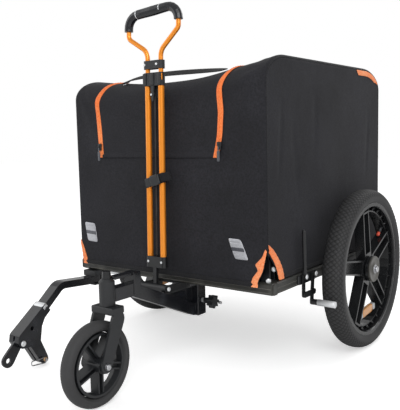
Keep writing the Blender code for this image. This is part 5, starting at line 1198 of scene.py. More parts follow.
    def binding(self, cut: CornerCut, on_side: bool) -> Piece:
        """The orange binding of one limb of a cut-out: a crowned ribbon from the cut to its outer edge.

        Args:
            cut: The cut-out.
            on_side: Whether the limb is on the side panel.

        Returns:
            The new piece.
        """
        inner = cut.side_cut if on_side else cut.face_cut
        outer = cut.side_edge if on_side else cut.face_edge
        low = self.hem_height + 0.0006 if on_side else self.front_hem
        rows = []
        for outline in (inner, outer):
            curve = smooth_path([(h, r, 0.0) for h, r in outline], 300)
            curve = curve[curve[:, 0] >= low]
            run = run_lengths(curve)
            even = np.linspace(0, run[-1], 60)
            rows.append(np.stack([np.interp(even, run, curve[:, i]) for i in range(2)], -1))
        u = np.linspace(0, 1, 11)[None, :, None]
        flat = rows[0][:, None] * (1 - u) + rows[1][:, None] * u
        z, reach = np.maximum(flat[..., 0], low), flat[..., 1]
        points, normal = self.corner_point(cut, reach.ravel(), z.ravel(), on_side)
        crown = np.sin(np.pi * np.broadcast_to(u[..., 0], z.shape)) ** 0.6
        lift = 0.0010 + self.pucker * np.sin(z / 0.0016) + self.binding_crown * crown
        word = "side" if on_side else "face"
        end = "rear" if cut.rear else "front"
        points = (points + normal * lift.reshape(-1, 1)).reshape(*z.shape, 3)
        return cloth(f"corner_binding_{end}_{cut.side.word}_{word}", points, self.binding_wall)

    def zip_tape(self, side: Side, line: tuple) -> Piece:
        """A zip tape on the front: a flat tape with its coil along the middle.

        The coil is a bell-shaped ridge across the tape, and its teeth are a wave along it. The tape's place
        across is smoothed along it by a moving average.

        Args:
            side: The side that it is on.
            line: (height, place across) pairs of its middle.

        Returns:
            The new piece.
        """
        z_place, x_place = np.array(line).T
        t = front_steps(150, 70, 12)
        heights = self.on_front(np.full_like(t, x_place.mean()), t)[:, 2]
        kernel = np.hanning(25) / np.hanning(25).sum()
        padded = np.pad(np.interp(heights, z_place, x_place), len(kernel) // 2, "edge")
        middle = np.convolve(padded, kernel, "valid")
        u = np.linspace(-1, 1, 15)
        across = middle[:, None] + u * self.zip_half
        run = run_lengths(self.on_front(middle, t))
        teeth = 1 + self.tooth_share * np.sin(2 * np.pi * run / self.tooth_pitch)
        lift = self.tape_lift + self.coil_height * bell(u, 0.0, self.coil_share) * teeth[:, None]
        points = self.on_front(across, np.broadcast_to(t[:, None], across.shape), lift)
        return cloth(f"zip_tape_{side.word}", points, self.tape_wall)

    def flap(self) -> Piece:
        """The front flap between the two zips, with a folded hem that stands a little proud."""
        t = front_steps(70, 24, 6)
        z = self.on_front(np.zeros_like(t), t)[:, 2]
        left = np.interp(z, *np.array(self.zip_left).T)[:, None]
        right = np.interp(z, *np.array(self.zip_right).T)[:, None]
        u = np.linspace(0, 1, 90)[None]
        across = left + (right - left) * u
        height = np.clip(z - self.flap_hem, 0, 1)[:, None]
        hem = 0.0011 * np.exp(-((height / 0.010) ** 4)) - 0.0006 * bell(height, 0.0125, 0.0022)
        sag = 0.0010 * np.sin(np.pi * u) * np.exp(-height / 0.05) + 0.0005 * np.sin(31 * across + 9 * height)
        lift = self.flap_lift + hem + sag
        points = self.on_front(across, np.broadcast_to(t[:, None], across.shape), lift)
        return cloth("front_flap_cloth", points, self.flap_wall)

    def slider(self, side: Side) -> tuple[Piece, Piece]:
        """A zip slider where the CAD one is: a waisted hood over the coil with its bridge, and a puller."""
        low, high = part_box(f"zip_slider_{side.word}")
        place = ((low.x + high.x) / 2 + self.slider_shift, low.y - ROW_SHIFT[1], high.z)
        hood = (
            ((-0.0060, -0.0004, -0.0095), (0.0060, 0.0046, 0.0), 3.0, 2),
            ((-0.0044, -0.0004, -0.0175), (0.0044, 0.0046, -0.0085), 3.0, 2),
            ((-0.0014, -0.0028, -0.0135), (0.0014, 0.0010, -0.0035), 3.0, 2),
        )
        puller = (
            ((-0.0018, -0.0030, -0.0210), (0.0018, -0.0016, -0.0105), 3.0, 2),
            ((-0.0036, -0.0036, -0.0430), (0.0036, -0.0010, -0.0200), 3.5, 2),
        )
        hood_piece = block_group(f"zip_hood_{side.word}", place, hood)
        return hood_piece, block_group(f"zip_puller_{side.word}", place, puller)

    def on_patch(self, corners: tuple, share_across: Array, share_down: Array, lift: Array | float) -> Array:
        """Points over a four-cornered patch on the straight front, lifted off the cloth.

        Args:
            corners: (place across, height) of its corners.
            share_across: Shares across the patch.
            share_down: Shares down the patch.
            lift: Distance off the cloth.

        Returns:
            The points.
        """
        flat = quad_blend(corners, share_across, share_down)
        points = np.stack([flat[..., 0], np.full_like(share_across, self.front), flat[..., 1]], -1)
        points[..., 1] -= self.ripples(points) + lift
        return points

    def patch(self, number: int, corners: tuple) -> Piece:
        """A bare reflective patch: a quadrilateral with rounded corners and two shallow grooves across it.

        Each point is a blend of the four corners; the corners are rounded by pulling the grid in where both
        of its coordinates near their ends, and the edge is a pillow's.
        """
        line = np.linspace(-1, 1, 41)
        u, v = np.meshgrid(line, line, indexing="ij")
        across, down = u * np.sqrt(1 - 0.16 * v**8), v * np.sqrt(1 - 0.16 * u**8)
        pillow = (1 - np.abs(u) ** 10) * (1 - np.abs(v) ** 10)
        groove = bell(v, 0.02, 0.05) + bell(v, -0.62, 0.05)
        lift = self.patch_lift * (1 + pillow - 0.5 * groove)
        points = self.on_patch(corners, (across + 1) / 2, (down + 1) / 2, lift)
        return cloth(f"reflective_patch_{number}", points, self.patch_wall)

    def patch_band(self, number: int, corners: tuple) -> Piece:
        """The darker strip across a patch: the blend of its corners between two shares of its height."""
        u, v = np.meshgrid(np.linspace(0.04, 0.96, 24), np.linspace(0.42, 0.60, 8), indexing="ij")
        return cloth(f"patch_band_{number}", self.on_patch(corners, u, v, self.band_lift), self.band_wall)

    def strap(self) -> Piece:
        """The webbing strap across the front of the roof: a line between its two sewn ends, bowed up.

        The bow is a half sine of a power of the share along it, highest left of the middle.
        """
        share = np.linspace(0, 1, 90)
        left, right = self.strap_ends
        rows = []
        for t, tip in ((1.70, -0.0030), (1.76, 0.0), (1.82, 0.0030)):
            end = self.on_front(np.array([left, right]), np.array([t, t]))
            line = end[0] + (end[1] - end[0]) * share[:, None]
            line[:, 0] = left + (right - left) * share
            bow = self.strap_bow * np.sin(np.pi * share**0.6) + self.strap_lift
            line[:, 2] += bow + tip * np.sin(np.pi * share) ** 0.5
            rows.append(line)
        low, middle, high = rows
        side = unit(high - low)
        normal = unit(np.cross(np.gradient(middle, axis=0), side))
        profile = ring(self.strap_half, self.strap_wall, 20, 5.0)
        return capped("roof_strap", sections(middle, profile, side, normal))

    def strap_ring(self) -> Piece:
        """The grey D-ring at the strap's left end: a wire swept round a rounded D that leans back."""
        turn = full_turn(60)
        shape = ring(0.0040, 0.0135, 60, 3.0)
        lean = np.array([1.0, 0.8, 0.45])
        end = self.on_front(np.array([-0.149]), np.array([1.74]), 0.0062)[0]
        path = end + shape[:, [0, 1, 1]] * lean
        out = unit(np.stack([np.cos(turn), np.sin(turn), np.sin(turn)], -1) * lean)
        over = unit(np.cross(np.gradient(path, axis=0), out))
        return looped("strap_ring", sections(path, ring(self.ring_wire, self.ring_wire, 12), out, over))

    def seam(self, side: Side) -> Piece:
        """The piped seam where the wrap meets a side panel, from hem to hem."""
        place = np.array([side.value * (self.half_width - 0.0006)])
        outline = self.side_view(place, 400, inset=self.corner_radius - 0.0012)[:, 0]
        y, z = outline[:, 1], outline[:, 2]
        path = outline[(y > 0.3) & (z > 0.262) | (y <= 0.3) & (z > 0.29)]
        return capped(f"cabin_seam_{side.word}", sweep(path, ring(0.0013, 0.0013, 10), (1, 0, 0)))

    def top_binding(self, side: Side) -> Piece:
        """The orange binding on a side panel round the rear top corner, 13.5 mm wide at its middle.

        Args:
            side: Side of the panel.

        Returns:
            The new piece.
        """
        outer = self.side_outline(side, self.corner_radius + 0.001)
        inner = self.side_outline(side, self.corner_radius + 0.0145)
        path_out = smooth_path(outer[(outer[:, 1] > 0.452)], 90)
        path_in = smooth_path(inner[(inner[:, 1] > 0.452)], 90)
        keep = path_out[:, 2] > 0.684
        path_out, path_in = path_out[keep], path_in[keep]
        taper = np.clip(np.sin(np.pi * np.linspace(0.02, 0.98, len(path_out))) * 3.0, 0.15, 1)[:, None]
        u = np.linspace(0, 1, 9)
        rows = path_out[:, None] + (path_in - path_out)[:, None] * (u[None] * taper)[..., None]
        rows[..., 0] += side.value * (0.0010 + 0.0009 * np.sin(np.pi * u))
        return cloth(f"rear_top_binding_{side.word}", rows, 0.0012)

    def hem(self) -> Piece:
        """The rolled hem along the bottom of the front."""
        x = np.linspace(-self.half_width + 0.013, self.half_width - 0.033, 60)
        y, z = np.full_like(x, self.front - 0.0006), np.full_like(x, self.front_hem + 0.0055)
        return capped("front_hem", sweep(np.stack([x, y, z], -1), ring(0.0055, 0.0014, 14, 3.0), (0, -1, 0)))

    def side_hem(self, side: Side) -> Piece:
        """The rolled hem along the bottom of a side panel."""
        y = np.linspace(self.front + 0.073, self.rear - 0.040, 60)
        x = np.full_like(y, side.value * (self.half_width + 0.0004))
        path = np.stack([x, y, np.full_like(y, self.hem_height + 0.0062)], -1)
        grid = sweep(path, ring(0.0055, 0.0012, 14, 3.0), (side.value, 0, 0))
        return capped(f"side_hem_{side.word}", grid)

    def door_cutter(self) -> Piece:
        """A rounded block that opens the rear doorway."""
        outline = ring(self.door_half, (self.door_high - self.door_low) / 2, 96, 9.0)
        z = outline[:, 1] + (self.door_high + self.door_low) / 2
        depths = (self.rear - 0.02, self.rear + 0.02)
        rows = [np.stack([outline[:, 0], np.full_like(z, y), z], -1) for y in depths]
        return capped("door_cutter", np.stack(rows))

    def build(self) -> None:
        """Builds the cabin and everything sewn to it."""
        cuts = [RIGHT_FRONT_CUT, LEFT_FRONT_CUT, rear_cut(Side.LEFT), rear_cut(Side.RIGHT)]
        wrap = carve(self.wrap(), [self.arch(cut) for cut in cuts] + [self.door_cutter()])
        sewn(wrap, "oxford_cloth", ["cover_shell"])
        for side in Side:
            own = [cut for cut in cuts if cut.side is side]
            panel = carve(self.side_panel(side), [self.arch(cut) for cut in own])
            sewn(panel, "oxford_cloth")
            for trim in (self.seam(side), self.side_hem(side)):
                self.trims.append(sewn(trim, "cloth_binding"))
            self.trims.append(sewn(self.top_binding(side), "orange_binding"))
        for cut in cuts:
            for on_side in (False, True):
                self.trims.append(sewn(self.binding(cut, on_side), "orange_binding"))
        self.trims.append(sewn(self.hem(), "cloth_binding"))
        for number, corners in enumerate(self.patches, 1):
            self.trims.append(sewn(self.patch(number, corners), "reflective"))
            self.trims.append(sewn(self.patch_band(number, corners), "dark_film"))
        flap = sewn(self.flap(), "oxford_cloth", ["front_flap"])
        zips = []
        for side, line in ((Side.LEFT, self.zip_left), (Side.RIGHT, self.zip_right)):
            tape = self.zip_tape(side, line)
            zips.append(sewn(tape, "orange_zip", [f"front_zip_{side.word}"]))
            hood, pull = self.slider(side)
            dress(hood, "acetal", f"zip_{side.word}", True, [f"zip_slider_{side.word}"])
            dress(pull, "zip_pull", f"zip_{side.word}", True)
        strap = sewn(self.strap(), "webbing", ["top_strap"])
        sewn(self.strap_ring(), "zinc")
        zips + [strap]


@dataclass
class RearDoor:
    """The cloth door over the rear doorway, hinged along its top, with the zip round its other edges."""

    half: float = 0.225
    low: float = 0.250
    high: float = 0.585
    corner: float = 0.045
    back: float = 0.6126
    zip_inset: float = 0.010
    zip_half: float = 0.0068
    coil_height: float = 0.0016
    wall: float = 0.0014
    tape_wall: float = 0.0010

    def half_at(self, z: Array) -> Array:
        """Half width of the door at a height: full, less what the quarter-circle corners take."""
        depth = np.minimum(z - self.low, self.high - z)
        c = np.clip(self.corner - depth, 0, self.corner)
        return self.half - (self.corner - np.sqrt(self.corner**2 - c**2))

    def panel(self) -> Piece:
        """The cloth: rows across the door at closer heights near its corners, with slow waves."""
        rows = np.sin(np.linspace(-1, 1, 70) * np.pi / 2 * 0.995)
        heights = (self.low + self.high) / 2 + (self.high - self.low) / 2 * rows
        u = np.linspace(-1, 1, 90)
        x = self.half_at(heights)[:, None] * u
        z = np.broadcast_to(heights[:, None], x.shape)
        fade = (1 - u[None] ** 6) * np.clip(np.minimum(z - self.low, self.high - z) / 0.05, 0, 1)
        wave = 0.0014 * np.sin(12 * x + 4 * z) * np.sin(14 * z + 0.5) + 0.0009 * np.sin(23 * x - 9 * z)
        y = self.back + 0.0014 + fade * (0.0011 + wave)
        return cloth("rear_door_cloth", np.stack([x, y, z], -1), self.wall)

    def outline(self, inset: float) -> Array:
        """The door's edge, from the top of its left side round the bottom to the top of its right side."""
        h, r = self.half - inset, self.corner - inset
        turn = np.linspace(0, np.pi / 2, 24)
        heights = np.linspace(self.high - self.corner + 0.012, self.low + self.corner, 60)
        left = np.stack([np.full_like(heights, -h), heights], -1)
        low_left = np.stack([-h + r * (1 - np.cos(turn)), self.low + inset + r * (1 - np.sin(turn))], -1)
        bottom = np.stack([np.linspace(-h + r, h - r, 90), np.full(90, self.low + inset)], -1)
        low_right, right = low_left[::-1] * [-1, 1], left[::-1] * [-1, 1]
        flat = np.concatenate([left, low_left[1:], bottom[1:], low_right[1:], right[1:]])
        return np.stack([flat[:, 0], np.full(len(flat), self.back + 0.0018), flat[:, 1]], -1)

    def build(self) -> None:
        """Builds the door and its zip tape."""
        door = dress(self.panel(), "oxford_cloth", "door", True, ["rear_door"])
        u = np.linspace(-1, 1, 15)
        profile = np.stack([u * self.zip_half, bell(u, 0.0, 0.3) * self.coil_height], -1)
        grid = sweep(self.outline(self.zip_inset), profile, (0, 1, 0))
        tape = cloth("rear_zip_tape", grid, self.tape_wall)
        tape = dress(tape, "orange_zip", "door", True)


@dataclass
class Wheel:
    """What a rear wheel carries beside its spokes: tyre, rim ribs, hub disc, bolt, reflector and valve."""

    side: Side
    hub: tuple = (0.341, 0.386, 0.2032)
    outer: float = 0.2032
    bead: float = 0.1640
    half_width: float = 0.0268
    tread_pitch: float = 0.0125
    tread_depth: float = 0.0016
    line_height: float = 0.0006
    rib_count: int = 30
    rib_reach: tuple = (0.1485, 0.1602)
    rib_depths: tuple = (0.002, 0.0088, 0.0150)
    rib_angles: tuple = (0.0075, 0.0058)
    disc_radius: float = 0.0335
    reflector_place: tuple = (0.3975, 0.0875)
    valve_angle: float = 38.7

    @property
    def body(self) -> str:
        """The CAD body that it rides on."""
        return f"rear_wheel_{self.side.word}"

    def place(self, along: Array | float, radius: Array | float, angle: Array | float) -> Array:
        """Points from a distance outward along the axle, a radius, and an angle from the rear, rising.

        Args:
            along: Distances outward.
            radius: Radii from the axle.
            angle: Angles.

        Returns:
            The points.
        """
        x = self.side.value * (self.hub[0] + along)
        y, z = self.hub[1] + radius * np.cos(angle), self.hub[2] + radius * np.sin(angle)
        return np.stack(np.broadcast_arrays(x, y, z), -1)

    def lathe(self, name: str, profile: Sequence[Sequence[float]], steps: int) -> Piece:
        """A piece turned about the wheel's axle, from (distance outward along it, radius) pairs."""
        points = np.asarray(profile, float)
        points[:, 0] = self.side.value * (self.hub[0] + points[:, 0])
        return turned(name, points, (0.0, self.hub[1], self.hub[2]), steps)

    def tyre(self) -> Piece:
        """The tyre: an egg-shaped section turned round the axle, with rows of small lozenge blocks.

        The section is a superellipse. The grooves lie where either of two slanted sine waves, in the angle
        round the wheel and round the section, is near zero; they are kept to the crown and shoulders. Two
        thin lines run round the lower sidewall. The groove attribute tells the material how much of the
        groove's depth each point has; the material darkens the grooves by it, with dirt and painted shade.
        """
        turns = round(2 * math.pi * self.outer / self.tread_pitch)
        angle = full_turn(turns * 8)[:, None]
        s = full_turn(80)[None]
        middle, height = (self.outer + self.bead) / 2, (self.outer - self.bead) / 2
        cosine, sine = np.cos(s), np.sin(s)
        along = self.half_width * powered(cosine, 0.86)
        radius = middle + height * powered(sine, 0.9)
        over = 6.0 * (s - np.pi / 2)
        gap = np.minimum(np.abs(np.sin(turns * angle / 2 + over)), np.abs(np.sin(turns * angle / 2 - over)))
        groove = np.clip(1 - gap / 0.42, 0, 1) ** 0.7 * np.clip((sine - 0.05) / 0.2, 0, 1)
        line = bell(sine, -0.30, 0.05) + bell(sine, -0.72, 0.05)
        push = -self.tread_depth * groove + self.line_height * line
        points = self.place(along + push * cosine, radius + push * sine, angle)
        tyre = looped(f"tyre_rubber_{self.side.word}", points)
        layer = tyre.data.attributes.new("groove", "FLOAT", "POINT")
        layer.data.foreach_set("value", groove.astype(np.float32).ravel())
        return tyre

    def ribs(self) -> Piece:
        """The small radial ribs in the rim's well: thin blocks that stand across it all round."""
        radii = np.repeat(self.rib_reach, 2)
        spread = np.array([-1, 1, 1, -1])
        tops = np.repeat(self.rib_depths[1:], 2)
        parts = []
        for index in range(self.rib_count):
            angle = 2 * math.pi * (index + 0.5) / self.rib_count
            low = self.place(self.rib_depths[0], radii, angle + spread * self.rib_angles[0])
            high = self.place(tops, radii, angle + spread * self.rib_angles[1])
            parts.append(capped("rib", np.stack([low, high])))
        return merge(f"rim_ribs_{self.side.word}", parts, weld=True)

    def disc(self) -> Piece:
        """The grey hub disc: a shallow dish with a rolled edge and a raised boss round the bolt."""
        r = self.disc_radius
        profile = (
            (0.0235, 0.0), (0.0235, r - 0.001), (0.0270, r), (0.0285, r - 0.0008), (0.0290, r - 0.003),
            (0.0278, r - 0.006), (0.0273, 0.020), (0.0277, 0.0135), (0.0295, 0.0125), (0.0295, 0.0),
        )
        return self.lathe(f"hub_disc_{self.side.word}", profile, 64)

    def bolt(self) -> Piece:
        """The bright hexagon bolt in the middle of the disc, with its washer."""
        profile = ((0.0292, 0), (0.0292, 0.0112), (0.0306, 0.0112), (0.0308, 0.0106), (0.0308, 0))
        washer = self.lathe("washer", profile, 40)
        angle = np.arange(6) * np.pi / 3 + 0.2
        steps = ((0.0306, 0.0085), (0.0360, 0.0085), (0.0368, 0.0076))
        rows = [self.place(along, radius, angle) for along, radius in steps]
        return merge(f"wheel_bolt_{self.side.word}", [washer, capped("head", np.stack(rows))], weld=True)

    def reflector(self) -> tuple[Piece, Piece]:
        """The amber reflector between the two lowest spokes and its pale end clips.

        The bar lies square to the wheel's radius, tapers a little towards its ends, and has a rounded
        rectangular section.
        """
        y, z = self.reflector_place
        away = unit(np.array([0.0, y - self.hub[1], z - self.hub[2]]))
        along = np.array([0.0, -away[2], away[1]])
        centre = np.array([self.side.value * (self.hub[0] + 0.001), y, z])
        spans = (
            (-0.034, 0.034, 0.0105, 0.0055),
            (-0.045, -0.0335, 0.0085, 0.0066),
            (0.0335, 0.045, 0.0085, 0.0066),
        )
        t = np.linspace(0, 1, 15)
        size = np.clip((1 - np.abs(2 * t - 1) ** 10) ** 0.2, 0.8, 1)
        pieces = []
        for start, end, width, depth in spans:
            path = centre + along * (start + (end - start) * t)[:, None]
            grid = sweep(path, ring(width, depth, 32, 6.0), (self.side.value, 0, 0), size)
            pieces.append(capped("bar", grid))
        body = merge(f"amber_reflector_{self.side.word}", pieces[:1], weld=True)
        return body, merge(f"reflector_clips_{self.side.word}", pieces[1:], weld=True)

    def valve_part(self, name: str, radii: Sequence[float], sizes: Sequence[float]) -> Piece:
        """A round part of the tyre valve along the wheel's radius, from its places and half-widths there."""
        turn = full_turn(24)[None]
        reach, size = np.array(radii)[:, None], np.array(sizes)[:, None]
        tilt = math.radians(self.valve_angle) + size * np.sin(turn) / reach
        return capped(name, self.place(size * np.cos(turn), reach, tilt))

    def build(self) -> None:
        """Builds and dresses the wheel's own pieces."""
        word = self.side.word
        stem_reach, stem_sizes = (0.1600, 0.1275, 0.1275, 0.1225), (0.0042, 0.0042, 0.0030, 0.0030)
        cap_reach = (0.1262, 0.1257, 0.1180, 0.1162, 0.1157)
        cap_sizes = (0.0040, 0.0044, 0.0044, 0.0036, 0.0018)
        stem = self.valve_part(f"valve_stem_{word}", stem_reach, stem_sizes)
        cap = self.valve_part(f"valve_cap_{word}", cap_reach, cap_sizes)
        dress(stem, "acetal", self.body)
        dress(cap, "red_cap", self.body)
        dress(self.tyre(), "tyre", self.body, replaces=[f"tyre_{word}"])
        dress(self.ribs(), "wheel_nylon", self.body)
        dress(self.disc(), "hub_grey", self.body)
        dress(self.bolt(), "zinc", self.body)
        body, clips = self.reflector()
        dress(body, "amber", self.body)
        dress(clips, "pale_nylon", self.body)


@dataclass
class Caster:
    """The front wheel's tyre, the caps of its axle, and the bright stud and sleeve of the star knob."""

    centre: tuple = (0.042, -0.281, 0.0898)
    outer: float = 0.0898
    bead: float = 0.0668
    half_width: float = 0.0153
    knob: tuple = (0.0, 0.056, 0.154)
    line_depth: float = 0.0005
    foam_wave: float = 0.0002

    def tyre(self) -> Piece:
        """The foam tyre: a superellipse section turned about the axle, with two fine lines on each wall."""
        angle = full_turn(240)[:, None]
        s = full_turn(48)[None]
        cosine, sine = np.cos(s), np.sin(s)
        middle, height = (self.outer + self.bead) / 2, (self.outer - self.bead) / 2
        line = bell(sine, 0.42, 0.06) + bell(sine, -0.62, 0.06)
        push = -self.line_depth * line + self.foam_wave * np.sin(90 * angle) * np.clip(sine, 0, 1)
        x = self.centre[0] + self.half_width * powered(cosine, 0.9) + push * cosine
        r = middle + height * powered(sine, 0.92) + push * sine
        points = np.stack([x, self.centre[1] + r * np.cos(angle), self.centre[2] + r * np.sin(angle)], -1)
        return looped("caster_tyre_rubber", points)

    def build(self) -> None:
        """Builds and dresses the caster's own pieces."""
        dress(self.tyre(), "caster_tyre", "caster", replaces=["caster_tyre"])
        end_heads("axle_cap", "caster_axle", 0.0004, self.centre[1:], (0.0062, 0.0026), "zinc", "fork")
        end = ((0.114, 0), (0.114, 0.0034), (0.120, 0.0034), (0.1208, 0.0028), (0.1208, 0))
        dress(turned("knob_stud_end", end, self.knob, 24), "zinc", "knob")
        sleeve = ((0.0640, 0), (0.0640, 0.0058), (0.0800, 0.0058), (0.0800, 0))
        dress(turned("knob_stud", sleeve, self.knob, 24), "pale_zinc", "knob")


HANDLE_LEAN = math.radians(1.4)
HANDLE_AXIS = (-0.052, 0.200)


def swung(points: Array, column: int, centre: Sequence[float], angle: float) -> Array:
    """Points turned about a centre in the plane of one column and the height.

    Args:
        points: Points with a last axis of 3.
        column: Number of the column that turns with the height.
        centre: Its value and the height at the centre.
        angle: Angle from the height towards the column.

    Returns:
        The turned points.
    """
    flat, rise = points[..., column] - centre[0], points[..., 2] - centre[1]
    c, s = math.cos(angle), math.sin(angle)
    moved = points.copy()
    moved[..., column] = centre[0] + flat * c + rise * s
    moved[..., 2] = centre[1] - flat * s + rise * c
    return moved


def leaned(points: Array) -> Array:
    """Points of the upright handle, turned about its foot's axis by the handle's small lean."""
    return swung(points, 1, HANDLE_AXIS, HANDLE_LEAN)


@dataclass
class Handle:
    """The pull handle's strap with its buckle, clamp ribs, rivets and grip bands."""

    middle: float = 0.0055
    spacing: float = 0.020
    tube: float = 0.0072
    tube_back: float = -0.042
    clamp_depth: float = 0.0088
    strap_height: float = 0.450
    strap_tilt: float = math.radians(-16.0)
    grip_core: float = 0.0098
    grip_tilt: float = math.radians(4.6)
    grip_middle: tuple = (0.003, 0.839)

    def strap(self) -> Piece:
        """The webbing loop: a flat band swept round both tubes on a slanted oval."""
        reach = self.spacing + self.tube
        outline = ring(reach + 0.0022, self.tube + 0.0022, 120, 3.2)
        x, y = outline.T
        z = self.strap_height - x * math.tan(self.strap_tilt)
        path = np.stack([self.middle + x, self.tube_back + y, z], -1)
        out = unit(np.stack([x / reach, y / self.tube, np.zeros_like(x)], -1))
        up = np.broadcast_to([math.sin(self.strap_tilt), 0.0, math.cos(self.strap_tilt)], path.shape)
        return looped("handle_strap_webbing", leaned(sections(path, ring(0.0108, 0.0010, 16, 5.0), up, out)))

    def tilted(self, obj: Piece) -> Piece:
        """Turns a piece about the strap's middle by the strap's slant, and leans it with the handle.

        Args:
            obj: The upright piece.

        Returns:
            The same piece.
        """
        flat = np.zeros(len(obj.data.vertices) * 3)
        obj.data.vertices.foreach_get("co", flat)
        points = flat.reshape(-1, 3) - ROW_SHIFT
        points = swung(points, 0, (self.middle, self.strap_height), self.strap_tilt)
        obj.data.vertices.foreach_set("co", (leaned(points) + ROW_SHIFT).ravel())
        obj.data.update()
        return obj

    def buckle(self) -> Piece:
        """The side-release buckle, from soft blocks: a body, two side prongs, a tongue and a slide bar."""
        place = (self.middle, self.tube_back - self.tube - 0.0030, self.strap_height)
        parts = (
            ((-0.0060, -0.0052, -0.0125), (0.0215, 0.0008, 0.0125), 7.0, 0),
            ((-0.0205, -0.0046, -0.0105), (-0.0070, 0.0006, 0.0105), 7.0, 0),
            ((-0.0085, -0.0040, -0.0104), (-0.0045, 0.0004, -0.0060), 5.0, 0),
            ((-0.0085, -0.0040, 0.0060), (-0.0045, 0.0004, 0.0104), 5.0, 0),
            ((0.0165, -0.0062, -0.0118), (0.0190, -0.0046, 0.0118), 4.0, 2),
        )
        return self.tilted(block_group("strap_buckle", place, parts))

    def tail(self) -> Piece:
        """The free end of the strap, which leaves the buckle to the right and curls off the tube."""
        t = np.linspace(0, 1, 40)
        x = self.middle + 0.0195 + 0.026 * t
        y = self.tube_back - self.tube - 0.0046 + 0.010 * t**1.8
        z = self.strap_height + 0.0062 + 0.0075 * t + 0.0012 * np.sin(5 * t)
        grid = sweep(np.stack([x, y, z], -1), ring(0.0100, 0.0009, 16, 5.0), (0.25, -1, 0))
        return capped("strap_tail", leaned(grid))

    def band(self, name: str, x: float, half: float, radius: float) -> Piece:
        """A thin sleeve round the grip's middle part, square to its slope.

        Args:
            name: Name of the piece.
            x: Place of its middle across.
            half: Half of its length.
            radius: Its outer radius.

        Returns:
            The new closed object.
        """
        low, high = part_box("handle_grip")
        y = (low.y + high.y) / 2 - ROW_SHIFT[1]
        z = self.grip_middle[1] + (x - self.grip_middle[0]) * math.tan(self.grip_tilt)
        along = np.array([-half, -half, half, half])
        reach = np.array([self.grip_core, radius, radius, self.grip_core])
        turn = full_turn(48)[:, None]
        c, s = math.cos(self.grip_tilt), math.sin(self.grip_tilt)
        up = reach * np.sin(turn)
        places = [x + along * c - up * s, y + reach * np.cos(turn), z + along * s + up * c]
        return looped(name, np.stack(places, -1))

    def clamp_ribs(self) -> Piece:
        """Three upright ribs on the front of the lower clamp, which leave two dark slots between them."""
        low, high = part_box("handle_lower_clamp")
        y0, y1 = low.y - ROW_SHIFT[1] - 0.0016, low.y - ROW_SHIFT[1] + 0.0020
        z0, z1 = low.z + 0.0015, high.z - 0.0015
        ribs = ((-0.0165, 0.0052), (0.0055, 0.0060), (0.0275, 0.0052))
        return merge("clamp_ribs", [block("rib", (x - w, y0, z0), (x + w, y1, z1), 6.0) for x, w in ribs])

    def build(self) -> None:
        """Builds and dresses the handle's own pieces."""
        dress(self.clamp_ribs(), "acetal", "handle")
        strap = dress(self.strap(), "webbing", "handle", replaces=["handle_strap"])
        buckle = dress(self.buckle(), "acetal", "handle")
        tail = dress(self.tail(), "webbing", "handle")
        rivets = (
            (-0.0175, 0.7175, "handle_top"), (0.0185, 0.7175, "handle_top"), (-0.0145, 0.2600, "handle"),
            (0.0255, 0.2600, "handle"),
        )
        for number, (x, z, body) in enumerate(rivets, 1):
            spot = leaned(np.array([x, self.tube_back - self.clamp_depth + 0.0003, z]))
            head = dome(f"handle_rivet_{number}", spot, (0, -1, 0), 0.0030, 0.0014)
            dress(head, "pale_zinc", body)
        spot = leaned(np.array([self.middle - 0.0030, self.tube_back - self.clamp_depth - 0.0002, 0.6490]))
        dress(dome("release_rivet", spot, (0, -1, 0), 0.0026, 0.0012), "pale_zinc", "release")
        for number, x in enumerate((-0.0425, 0.0276), 1):
            band = self.band(f"grip_band_{number}", x, 0.0010, 0.0108)
            dress(band, "pale_zinc", "handle_top")
        dress(self.band("grip_sleeve", -0.0075, 0.0338, 0.01062), "matt_grip", "handle_top")
        size = (0.0052, 0.0028)
        end_heads("handle_pivot", "handle_bracket", 0.0002, HANDLE_AXIS, size, "pale_zinc", "trailer", -0.15)


